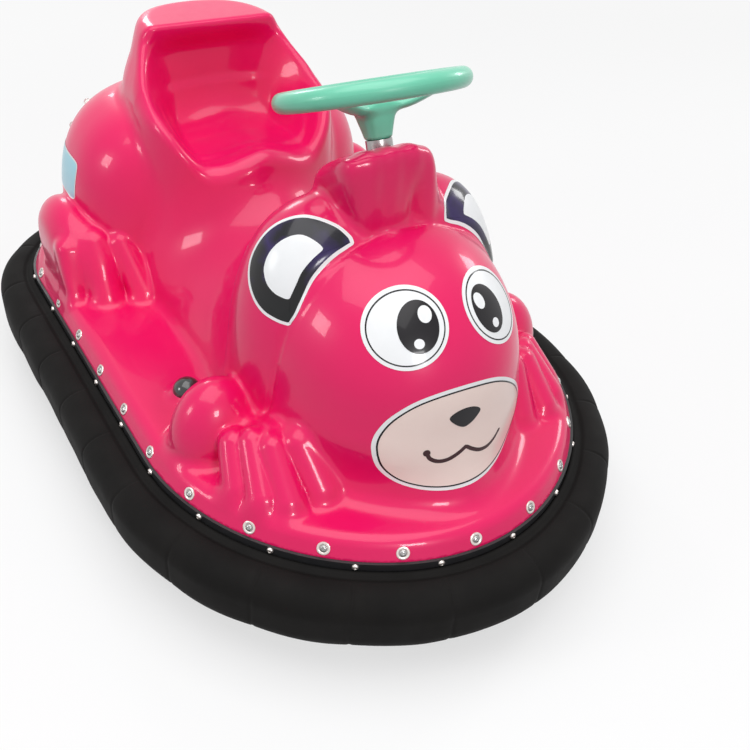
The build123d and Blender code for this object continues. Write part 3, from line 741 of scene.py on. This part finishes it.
bright_steel = finish("bright steel", dusty(linear(150, 149, 148), linear(176, 175, 174), 60.0),
                      lambda place: brushed(place) * 0.15 + 0.2, brushed, 0.1, 0.0003, metallic=1.0)
nylon = finish("moulded nylon", dusty(linear(196, 194, 186), linear(216, 214, 206), 25.0),
               uneven(0.4, 0.15, 80.0), bumps(300.0), 0.12, 0.0004)
mint = finish("mint plastic", dusty(linear(94, 188, 156), linear(112, 200, 170), 18.0),
              uneven(0.28, 0.12, 70.0, 3.0), bumps(350.0), 0.12, 0.0004,
              coat_weight=0.3, coat_roughness=0.1)
black_plastic = finish("glossy black plastic", dusty(linear(22, 26, 26), linear(44, 50, 50), 40.0),
                       uneven(0.12, 0.1, 60.0), bumps(200.0), 0.05, 0.0004,
                       coat_weight=0.6, coat_roughness=0.05)
battery_case = finish("battery case", dusty(linear(48, 50, 54), linear(62, 64, 68), 20.0),
                      uneven(0.5, 0.2, 200.0), bumps(600.0), 0.3, 0.0004)

finish_of_slot = {"bumper_rubber": rubber, "black_steel": black_paint, "frame_steel": frame_paint,
                  "steel": bright_steel, "tyre": tyre_rubber, "wheel_plastic": nylon,
                  "mint_plastic": mint, "black_plastic": black_plastic,
                  "battery_case": battery_case, "shell": gel_coat}
for part in frame["record"]["subparts"]:
    target = nodes[part["node"]].data
    target.materials.clear()
    target.materials.append(finish_of_slot[part["material_slot"]])
print(len(finish_of_slot), "finishes on", len(nodes), "nodes")

# %% [markdown]
# ## The rubber bumper
#
# The bumper, the washers and the screws all follow the deck's outline, so the
# outline is first laid out as a long line with its outward normals, and any
# distance from the nose gives a place on it. The rubber is a round section
# swept along that line, with a shallow groove beside the steel band and a
# slight crease at each of the screws that hold it.

# %% A line round the car
def outline_line():
    """x, y and outward normal from the nose round the left to the tail and back by the right."""
    join = math.atan2(nose_y - SHOULDER_Y, SHOULDER_R - HALF_WIDTH)
    bend = math.atan2(corner_rise, HALF_WIDTH - CORNER_R)
    rows = []
    for cx, cy, r, start, end in ((0, nose_y, NOSE_R, -math.pi / 2, join),
                                  (HALF_WIDTH - SHOULDER_R, SHOULDER_Y, SHOULDER_R, join, 0),
                                  (HALF_WIDTH - CORNER_R, SIDE_END_Y, CORNER_R, 0, bend),
                                  (0, tail_y, TAIL_R, bend, math.pi / 2)):
        t = np.linspace(start, end, 150)
        rows.append(np.stack([cx + r * np.cos(t), cy + r * np.sin(t), np.cos(t), np.sin(t)], 1))
    half = np.concatenate(rows)
    return np.concatenate([half, half[::-1] * (-1, 1, -1, 1)])


line = outline_line()
gone = np.concatenate([[0], np.cumsum(np.hypot(*np.diff(line[:, :2], axis=0).T))])
PERIMETER = gone[-1]


def walk(distance):
    """x, y and outward normal at distances along the line, in metres from the nose towards the left."""
    return [np.interp(np.mod(distance, PERIMETER), gone, line[:, k]) for k in range(4)]


WASHER_COUNT, SCREW_COUNT = 29, 27
WASHERS = -0.021 + PERIMETER * np.arange(WASHER_COUNT) / WASHER_COUNT
SCREWS = 0.036 + PERIMETER * np.arange(SCREW_COUNT) / SCREW_COUNT
print("once round the deck:", round(PERIMETER, 3), "m")

# %% Sweep the rubber
def arc(cx, cz, r, start, end, n):
    t = np.radians(np.linspace(start, end, n))
    return [(cx + r * math.cos(a), cz + r * math.sin(a)) for a in t]


rubber_low, rubber_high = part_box("rubber_bumper")
REACH = rubber_high[0] - HALF_WIDTH
IN, TOP, BOTTOM, ROUND = 0.0035, rubber_high[2], rubber_low[2], 0.034
GROOVE_START, GROOVE_END, GROOVE_DEPTH = 0.008, 0.024, 0.0035
groove = [(o, TOP - GROOVE_DEPTH * math.sin(math.pi * (o - GROOVE_START) / (GROOVE_END - GROOVE_START))**2)
          for o in np.linspace(GROOVE_START, GROOVE_END, 9)]
section = np.array([(IN, BOTTOM + 0.004), (IN, TOP - 0.003),
                    *arc(IN + 0.003, TOP - 0.003, 0.003, 150, 90, 3), *groove,
                    *arc(REACH - ROUND, TOP - ROUND, ROUND, 90, 0, 13),
                    *arc(REACH - ROUND, BOTTOM + ROUND, ROUND, 0, -90, 13),
                    (IN + 0.004, BOTTOM)])
beside = np.array([-7, -4.5, -3, -1.8, -0.9, 0, 0.9, 1.8, 3, 4.5, 7]) / 1000
at = np.concatenate([np.linspace(0, PERIMETER, 330, endpoint=False), (SCREWS[:, None] + beside).ravel()])
at = np.unique(np.round(np.mod(at, PERIMETER), 5))
near = np.abs((at[:, None] - SCREWS[None, :] + PERIMETER / 2) % PERIMETER - PERIMETER / 2).min(1)
crease = 0.0011 * np.exp(-(near / 0.0022)**2) + 0.0008 * np.exp(-(near / 0.02)**2)
round_car = at * 2 * np.pi / PERIMETER
swell = 0.0008 * np.sin(round_car * 9 + 0.7) + 0.0006 * np.sin(round_car * 23)
outer = ramp(section[:, 0], 0.006, 0.040)
x, y, nx, ny = (v[:, None] for v in walk(at))
reach = section[None, :, 0] + (swell - crease)[:, None] * outer
rise = section[None, :, 1] - crease[:, None] * ramp(section[:, 1], TOP - 0.02, TOP) * outer
points = np.stack([x + nx * reach, y + ny * reach, rise + 0 * x], -1).reshape(-1, 3)
rows, columns = len(at), len(section)
i, j = np.meshgrid(np.arange(rows), np.arange(columns), indexing="ij")
a, b = i * columns + j, i * columns + (j + 1) % columns
c, d = ((i + 1) % rows) * columns + (j + 1) % columns, ((i + 1) % rows) * columns + j
ring = new_object("bumper_ring", points, np.stack([a, d, c, b], -1).reshape(-1, 4))
ring.data.materials.append(rubber)
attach(ring, "car")
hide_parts("rubber_bumper")
print("bumper ring:", rows * columns * 2, "triangles")

# %% [markdown]
# ## Washers, screws and lamps
#
# Small turned pieces are one profile spun about its axis, copied to every
# place along a normal. The profile runs from the rim to the middle.

# %% Turned pieces
def turned_pieces(name, profile, places, normals, material, spokes=20):
    """One mesh with a copy of the spun profile, in millimetres, at every place."""
    profile = np.array(profile) / 1000
    turn = np.linspace(0, 2 * np.pi, spokes, endpoint=False)
    rings = [np.stack([r * np.cos(turn), r * np.sin(turn), np.full(spokes, h)], 1) for r, h in profile[:-1]]
    one = np.concatenate([*rings, [(0, 0, profile[-1][1])]])
    faces = grid_faces(len(rings), spokes, True)[:, ::-1].tolist()
    last = (len(rings) - 1) * spokes
    faces += [[last + k, last + (k + 1) % spokes, len(one) - 1] for k in range(spokes)]
    faces.append(list(range(spokes))[::-1])
    places, normals = np.array(places, float), np.array(normals, float)
    normals /= np.linalg.norm(normals, axis=1, keepdims=True)
    first = np.cross((0.0, 0.0, 1.0), normals)
    first /= np.linalg.norm(first, axis=1, keepdims=True)
    second = np.cross(normals, first)
    frames = np.stack([first, second, normals], 1)
    points = (places[:, None] + one @ frames).reshape(-1, 3)
    every = [[index + len(one) * k for index in face] for k in range(len(places)) for face in faces]
    made = new_object(name, points, every)
    made.data.materials.append(material)
    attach(made, "car")
    return made


nickel = finish("nickel plate", dusty(linear(206, 196, 190), linear(232, 224, 220), 300.0),
                uneven(0.22, 0.15, 400.0), bumps(900.0), 0.08, 0.0003, metallic=0.9)
lens_plastic = finish("clear lens plastic", dusty(linear(240, 236, 230), linear(252, 250, 248), 60.0),
                      0.06, bumps(500.0), 0.03, 0.0003,
                      transmission_weight=0.75, ior=1.47, coat_weight=0.5, coat_roughness=0.03)

lean = INSET / (DECK - SKIRT)


def round_the_car(distances, reach, z, slope):
    """Places that far out from the outline at height z, and normals that rise by the slope."""
    x, y, nx, ny = walk(distances)
    return (np.stack([x + nx * reach, y + ny * reach, np.full_like(x, z)], 1),
            np.stack([nx, ny, np.full_like(x, slope)], 1))


above_skirt = 0.0115
rim_places, rim_normals = round_the_car(WASHERS, -lean * above_skirt, SKIRT + above_skirt, lean)
washer = ((9.0, -0.8), (9.0, 0.5), (8.6, 1.2), (7.6, 1.6), (6.4, 1.5), (5.3, 0.9), (5.0, 0.6), (0, 0.6))
rim_head = ((4.7, 0.4), (4.7, 1.2), (4.2, 2.1), (3.2, 2.8), (1.9, 3.1), (1.5, 2.5), (0, 2.3))
turned_pieces("cup_washers", washer, rim_places, rim_normals, nickel)
turned_pieces("rim_screws", rim_head, rim_places, rim_normals, bright_steel, 16)

band_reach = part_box("bumper_band")[1][0] - HALF_WIDTH
band_places, band_normals = round_the_car(SCREWS, band_reach, (TOP + SKIRT) / 2, 0.0)
band_head = ((4.4, -1.0), (4.4, 1.4), (3.9, 2.3), (2.8, 3.0), (1.5, 3.2), (1.2, 2.7), (0, 2.6))
turned_pieces("band_screws", band_head, band_places, band_normals, nickel, 16)

# %% Lamps on the rump
LAMPS = ((0.186, 0.424, 0.420), (0.219, 0.424, 0.385))
spots = np.array([(side * px, py, pz) for side in (-1, 1) for px, py, pz in LAMPS])
pull = np.array([0.0, RUMP_Y, 0.26])
for _ in range(30):
    away = (spots - pull) / np.linalg.norm(spots - pull, axis=1, keepdims=True)
    spots = spots - away * (moulding(*spots.T) * 0.8)[:, None]
out = gradient(*spots.T)
lamp_ring = ((8.4, -1.5), (8.4, 1.0), (7.8, 1.8), (6.9, 2.0), (6.4, 1.6), (0, 1.6))
lamp_dome = ((6.4, 1.0), (6.3, 2.6), (5.7, 4.6), (4.5, 6.3), (2.6, 7.4), (0.9, 7.8), (0, 7.85))
turned_pieces("lamp_rings", lamp_ring, spots, out, nickel, 24)
turned_pieces("lamp_domes", lamp_dome, spots, out, lens_plastic, 24)

# %% [markdown]
# ## The steering wheel's boss
#
# The boss is a squared cup on the steering column with three flat spokes that
# leave it square to the column and then bend up to the rim. It is worked out
# in the column's own directions: u along the car's x, w along the column.

# %% Build the boss
rim_low, rim_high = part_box("steering_rim")
rim_centre = (np.array(rim_low) + np.array(rim_high)) / 2
RIM_TUBE_R = 0.0125
WHEEL_R = (rim_high[0] - rim_low[0]) / 2 - RIM_TUBE_R
TILT = math.radians(23.0)
u_axis = np.array((1.0, 0.0, 0.0))
v_axis = np.array((0.0, math.cos(TILT), -math.sin(TILT)))
w_axis = np.array((0.0, math.sin(TILT), math.cos(TILT)))


def boss(u, v, w):
    """The cup, wider towards its flat top, joined to three bent spokes; w is measured from the rim's plane.
    """
    half = 0.0150 + 0.0085 * ramp(w, -0.064, -0.016)
    cup = ((np.abs(u)**3.4 + np.abs(v)**3.4)**(1 / 3.4) - half) * 0.9
    cup = smooth_max(smooth_max(cup, w + 0.0115, 0.006), -0.0580 - w, 0.004)
    d = cup
    for turn in np.radians((90.0, 210.0, 330.0)):
        along = u * math.cos(turn) + v * math.sin(turn)
        across = v * math.cos(turn) - u * math.sin(turn)
        height = w + 0.0205 - 0.0205 * ramp(along, 0.030, 0.112)
        flat = np.sqrt((across / 0.0125)**2 + (height / 0.0062)**2)
        arm = (flat - 1) * 0.0062
        arm = smooth_max(smooth_max(arm, -along, 0.004), along - WHEEL_R, 0.004)
        d = smooth_min(d, arm, 0.009)
    return d


cell = 0.0022
local, faces = surface_net(boss, (-0.115, -0.115, -0.066), (0.115, 0.115, 0.014), cell)
for _ in range(3):
    e = 0.0002
    slope = np.stack([(boss(*(local + e * axis).T) - boss(*(local - e * axis).T)) / (2 * e)
                      for axis in np.eye(3)], 1)
    step = slope * (boss(*local.T) / np.maximum((slope * slope).sum(1), 0.05))[:, None]
    local -= np.clip(step, -cell / 2, cell / 2)
slope /= np.linalg.norm(slope, axis=1, keepdims=True)
axes = np.stack([u_axis, v_axis, w_axis])
hub = new_object("wheel_boss", rim_centre + local @ axes, faces, slope @ axes)
hub.data.materials.append(mint)
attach(hub, "steering")
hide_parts("steering_hub")
print("boss:", len(faces) * 2, "triangles")

# %% [markdown]
# ## Outlines for stickers
#
# The face is cut from glossy vinyl and stuck on the finished moulding. An
# outline is a function of a share of the way round, from 0 to 1, and returns
# points in the sheet's own plane, anticlockwise.

# %% Outlines
def through_points(points):
    """A closed curve through the points, in millimetres: a cubic in each gap, centred slopes."""
    p = np.array(points, float) / 1000
    slope = (np.roll(p, -1, 0) - np.roll(p, 1, 0)) / 2

    def at(share):
        t = np.asarray(share, float) % 1.0 * len(p)
        i = np.floor(t).astype(int) % len(p)
        j, s = (i + 1) % len(p), (t - np.floor(t))[..., None]
        return ((2 * s**3 - 3 * s**2 + 1) * p[i] + (s**3 - 2 * s**2 + s) * slope[i]
                + (3 * s**2 - 2 * s**3) * p[j] + (s**3 - s**2) * slope[j])
    return at


def oval(x, y, a, b, roll=0.0, power=2.0):
    """|u/a|^n + |v/b|^n = 1 about (x, y) in millimetres, rolled by degrees. A high n squares it."""
    c, s = math.cos(math.radians(roll)), math.sin(math.radians(roll))

    def at(share):
        turn = 2 * np.pi * np.asarray(share, float)
        reach = (np.abs(np.cos(turn) / a)**power + np.abs(np.sin(turn) / b)**power)**(-1 / power)
        u, v = reach * np.cos(turn), reach * np.sin(turn)
        return np.stack([x + u * c - v * s, y + u * s + v * c], -1) / 1000
    return at


def inset(outline, by):
    """The outline moved in along its own normal by so many millimetres."""
    def at(share):
        along = outline(share + 1e-4) - outline(share - 1e-4)
        along /= np.linalg.norm(along, axis=-1, keepdims=True)
        return outline(share) + np.stack([-along[..., 1], along[..., 0]], -1) * by / 1000
    return at


def mirrored(outline):
    """The outline seen in a mirror, still anticlockwise."""
    return lambda share: outline(-np.asarray(share)) * (-1, 1)


def unchanged(outline):
    return outline


# %% [markdown]
# ## Laying a sheet
#
# A sheet is a grid of points in a plane. Each point is dropped straight along
# one direction until it meets the moulding, then lifted by the thickness of
# what lies beneath it. A disc comes from a square grid that is pulled out to
# the outline, so it has no pole.

# %% Grids of points in a plane
def disc(outline, n=33):
    """Ring max(|s|, |t|) of the way out from the middle, at the turn of (s, t)."""
    line = np.linspace(-1, 1, n)
    s, t = np.meshgrid(line, line, indexing="ij")
    reach = np.maximum(np.abs(s), np.abs(t))[..., None]
    rim = outline(np.arctan2(t, s) / (2 * np.pi))
    middle = outline(np.linspace(0, 1, 64, endpoint=False)).mean(0)
    return middle + (rim - middle) * reach, False


def band(outline, width, spokes=160):
    """Two rings, the outline and the outline moved in by the width."""
    share = np.linspace(0, 1, spokes, endpoint=False)
    return np.stack([inset(outline, width)(share), outline(share)]), True


def stroke(points, widths, rows=70):
    """A pen stroke through the points, with rounded ends and a width that changes along it."""
    p = np.array(points, float) / 1000
    at = np.arange(len(p))
    t = np.linspace(0, len(p) - 1, rows)
    line = np.stack([through(t, at, p[:, 0]), through(t, at, p[:, 1])], -1)
    along = np.gradient(line, axis=0)
    gone = np.concatenate([[0], np.cumsum(np.linalg.norm(np.diff(line, axis=0), axis=1))])
    along /= np.linalg.norm(along, axis=1, keepdims=True)
    half = through(t, np.linspace(0, len(p) - 1, len(widths)), widths) / 2000
    end = np.clip(1 - np.minimum(gone, gone[-1] - gone) / half, 0, 0.94)
    half = half * np.sqrt(1 - end**2)
    side = np.stack([-along[:, 1], along[:, 0]], -1)
    across = np.array([1.0, 0.33, -0.33, -1.0])[None, :, None]
    return line[:, None] + side[:, None] * half[:, None, None] * across, False


# %% Drop a grid on the moulding
def drop(points, direction, reach=0.12, steps=26):
    """Slides each point along the direction, by the distance that the moulding's function gives."""
    p = points - direction * reach
    for _ in range(steps):
        p = p + direction * (moulding(*p.T) * 0.9)[:, None]
    return p


def lay(name, grid, plane, lift, material, thick=0.6):
    """A sheet with its top at lift over the moulding, in millimetres. plane is (centre, direction)."""
    flat, closed = grid
    centre, direction = (np.array(v, float) for v in plane)
    direction /= np.linalg.norm(direction)
    across = np.cross(direction, (0.0, 0.0, 1.0))
    across /= np.linalg.norm(across)
    upward = np.cross(across, direction)
    rows, columns = flat.shape[:2]
    faces = grid_faces(rows, columns, closed)
    flat = flat.reshape(-1, 2)
    on = drop(centre + flat[:, :1] * across + flat[:, 1:] * upward, direction)
    out = gradient(*on.T)
    out /= np.linalg.norm(out, axis=1, keepdims=True)
    first = on[faces[len(faces) // 2]]
    if np.cross(first[1] - first[0], first[2] - first[0]) @ out[faces[len(faces) // 2][0]] < 0:
        faces = faces[:, ::-1]
    points, normals, faces = walled(on + out * lift / 1000, out, faces, thick / 1000)
    made = new_object(name, points, faces, normals)
    made.data.materials.append(material)
    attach(made, "car")
    return made


# %% Vinyl
def vinyl(name, colour, other):
    return finish(name, dusty(colour, other, 40.0), 0.3, bumps(90.0, 1.0), 0.05, 0.0006,
                  coat_weight=0.25, coat_roughness=0.06, specular_ior_level=0.2)


def painted_ear_sheen(place):
    """Nearly black, with a painted sheen: violet high up and green low down, in place of the holographic
    vinyl's shifting reflections.
    """
    height = place.node("SeparateXYZ", {0: place}, out=2)
    shift = noise(place, 22.0, 2.0)
    tone = (height - 0.36) * 7.0 + (shift - 0.5) * 0.9
    return tone.node("ValToRGB", {"Fac": tone}, stops=(
        (0.0, linear(14, 60, 44)), (0.18, linear(10, 14, 16)), (0.55, linear(12, 10, 14)),
        (0.78, linear(44, 26, 84)), (0.95, linear(16, 14, 26))))


white_vinyl = vinyl("white vinyl", linear(232, 234, 236), linear(240, 241, 243))
black_vinyl = vinyl("black vinyl", linear(12, 10, 14), linear(22, 18, 24))
muzzle_vinyl = vinyl("muzzle vinyl", linear(236, 214, 206), linear(240, 220, 213))
brown_vinyl = vinyl("dark brown vinyl", linear(46, 14, 20), linear(60, 20, 28))
blue_vinyl = vinyl("pale blue vinyl", linear(160, 214, 232), linear(174, 224, 238))
# The ears' black holographic vinyl, its reflections painted into the colour as a violet and green sheen.
ear_vinyl_painted_sheen = finish("black vinyl with painted sheen", painted_ear_sheen, 0.22, bumps(90.0, 1.0), 0.05, 0.0006,
                        coat_weight=0.3, coat_roughness=0.06, specular_ior_level=0.25)
print("vinyl ready")

# %% The eyes
for side, label in ((-1, "right"), (1, "left")):
    plane = ((side * 0.063 + 0.0045, -0.377, 0.423 - side * 0.002), (-side * 0.23, 0.90, -0.36))
    turned = mirrored if side > 0 else unchanged
    white = turned(oval(-1.5, -4.0, 52.5, 47.0, 18))
    lay("eye_white_" + label, disc(white, 45), plane, 0.5, white_vinyl)
    lay("eye_ring_" + label, band(inset(white, 4.6), 1.7), plane, 0.7, black_vinyl)
    lay("pupil_" + label, disc(turned(oval(12.0, -3.0, 25.5, 30.0, -10))), plane, 0.9, black_vinyl)
    lay("highlight_" + label, disc(turned(oval(22.0, 10.5, 8.6, 9.6)), 17), plane, 1.1, white_vinyl)
    lay("small_highlight_" + label, disc(turned(oval(10.0, -21.5, 6.4, 5.8)), 13), plane, 1.1, white_vinyl)

# %% The ears
EAR = through_points((
    (57, 45), (56, 49), (50, 55), (34, 62), (12, 64), (-9, 61), (-29, 50), (-46, 34), (-58, 13), (-63, -11),
    (-57, -35), (-43, -55), (-25, -68), (-6, -73), (9, -74), (15, -72), (17, -68), (22, -56), (26, -34),
    (30, -12), (37, 8), (45, 25), (53, 38)))
INNER_EAR = through_points((
    (30, 28), (28, 31), (22, 34), (11, 37), (0, 37), (-12, 31), (-24, 19), (-32, 4), (-34, -11), (-31, -22),
    (-23, -33), (-11, -40), (0, -42), (6, -42), (9, -40), (10, -36), (13, -22), (16, -5), (23, 13), (28, 23)))
for side, label in ((-1, "right"), (1, "left")):
    plane = ((side * 0.133, -0.234, 0.448), (-side * 0.70, 0.45, -0.55))
    turned = mirrored if side > 0 else unchanged
    lay("ear_border_" + label, disc(turned(EAR), 61), plane, 0.5, white_vinyl)
    lay("ear_" + label, disc(inset(turned(EAR), 4.0), 61), plane, 0.7, ear_vinyl_painted_sheen)
    lay("inner_ear_" + label, disc(turned(INNER_EAR), 37), plane, 0.9, white_vinyl)

# %% The plates on the rump
for side, label in ((-1, "right"), (1, "left")):
    plane = ((side * 0.250, 0.352, 0.342), (-side * 0.98, -0.02, -0.18))
    plate = oval(0, 0, 62, 33, 0, 9.0)
    lay("plate_border_" + label, disc(plate, 41), plane, 0.5, white_vinyl)
    lay("plate_" + label, disc(inset(plate, 2.5), 41), plane, 0.7, blue_vinyl)

# %% The muzzle, nose and mouth
MUZZLE = through_points((
    (117, -10), (112, 10), (95, 31), (68, 51), (38, 63), (0, 68), (-38, 67), (-70, 59), (-95, 42), (-110, 20),
    (-116, -4), (-110, -34), (-92, -57), (-66, -70), (-34, -76), (0, -76), (34, -73), (66, -64), (92, -48),
    (110, -32)))
NOSE = through_points(((18, 27), (10, 34), (-5, 37), (-20, 34.5), (-28, 28), (-21, 18.5), (-12, 12), (-5, 10),
                       (3, 12.5), (11, 18)))
plane = ((0.0, -0.440, 0.288), (0.0, 1.0, -0.20))
lay("muzzle", disc(MUZZLE, 69), plane, 0.5, white_vinyl)
lay("muzzle_face", disc(inset(MUZZLE, 5.0), 69), plane, 0.7, muzzle_vinyl)
lay("muzzle_line", band(inset(MUZZLE, 4.6), 1.9, 240), plane, 0.9, black_vinyl)
lay("nose", disc(NOSE, 25), plane, 1.1, black_vinyl)
lay("mouth_dot", disc(oval(-57.0, -15.5, 4.6, 4.6), 13), plane, 1.1, brown_vinyl)
right_curl = ((-57, -15), (-53, -24.5), (-43, -30.5), (-30, -31), (-15, -26), (-2, -19))
left_curl = ((-4, -19.5), (6, -27), (18, -33), (32, -34), (45, -29), (57, -19))
lay("mouth_right", stroke(right_curl, (5.2, 5.4, 5.2)), plane, 1.05, brown_vinyl)
lay("mouth_left", stroke(left_curl, (5.2, 5.0, 3.6)), plane, 1.0, brown_vinyl)

# %% [markdown]
# ## Floor, backdrop and light
#
# A pale floor and a pale world. Both are whiter to the camera and to
# reflections than the light that they give, so the object keeps its own
# colours. The floor's own white glow grows with the distance from the car, so
# that the car's shadow stays and the floor's far end melts into the world.

# %% Stage
def flat_grid(name, size, z):
    points = np.array([(-size, -size, z), (size, -size, z), (size, size, z), (-size, size, z)], float)
    return new_object(name, points, np.array([[0, 1, 2, 3]]), smooth=False)


floor = flat_grid("floor", 30.0, 0.0)
floor_paint = bpy.data.materials.new("pale floor")
floor_paint.use_nodes = True
tree = floor_paint.node_tree


def seen_directly(tree):
    """1 for the camera's rays, mirrors' and glasses', 0 for the light that things give each other."""
    rays = tree.nodes.new("ShaderNodeLightPath")
    camera_ray, glossy, through_glass = (Wire(tree, rays.outputs["Is %s Ray" % kind])
                                         for kind in ("Camera", "Glossy", "Transmission"))
    return camera_ray.math("MAXIMUM", glossy).math("MAXIMUM", through_glass)


seen = seen_directly(tree)
lit = seen.node("BsdfDiffuse", {"Color": blend_colour(seen, linear(150, 150, 152), linear(238, 238, 239))})
glow = seen.node("Emission", {"Color": (1.0, 1.0, 1.0, 1.0), "Strength": 1.0})
far = seen.node("VectorMath", {0: seen.node("TexCoord", out=3)}, out=1, operation="LENGTH")
both = seen.node("MixShader", {0: seen * (far * 0.10 + 0.55).math("MINIMUM", 1.0), 1: lit, 2: glow})
tree.links.new(both.socket, tree.nodes["Material Output"].inputs["Surface"])
floor.data.materials.append(floor_paint)
floor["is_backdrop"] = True

world = bpy.data.worlds.new("studio")
world.use_nodes = True
bpy.context.scene.world = world
tree = world.node_tree
strength = seen_directly(tree) * 0.62 + 0.38
tree.nodes["Background"].inputs["Color"].default_value = (1.0, 1.0, 1.0, 1.0)
tree.links.new(strength.socket, tree.nodes["Background"].inputs["Strength"])


def area_light(name, place, target, size, power):
    data = bpy.data.lights.new(name, "AREA")
    data.shape, data.size, data.energy = "SQUARE", size, power
    lamp = bpy.data.objects.new(name, data)
    lamp.location = place
    lamp.rotation_euler = (Vector(target) - Vector(place)).to_track_quat("-Z", "Y").to_euler()
    bpy.context.scene.collection.objects.link(lamp)


area_light("overhead", (-0.3, -0.2, 2.7), (0, 0, 0.2), 2.6, 50.0)
area_light("front", (-0.4, -2.6, 1.5), (0, 0, 0.25), 0.5, 19.0)
area_light("left", (2.6, 0.2, 1.5), (0, 0, 0.3), 0.6, 11.0)
area_light("right", (-2.6, 0.3, 1.3), (0, 0, 0.3), 0.6, 11.0)
area_light("back", (0.2, 2.7, 1.5), (0, 0, 0.3), 0.6, 9.0)
bpy.context.scene.view_settings.view_transform = "Standard"
print("stage set")

# %% Update the scene
bpy.context.view_layer.update()
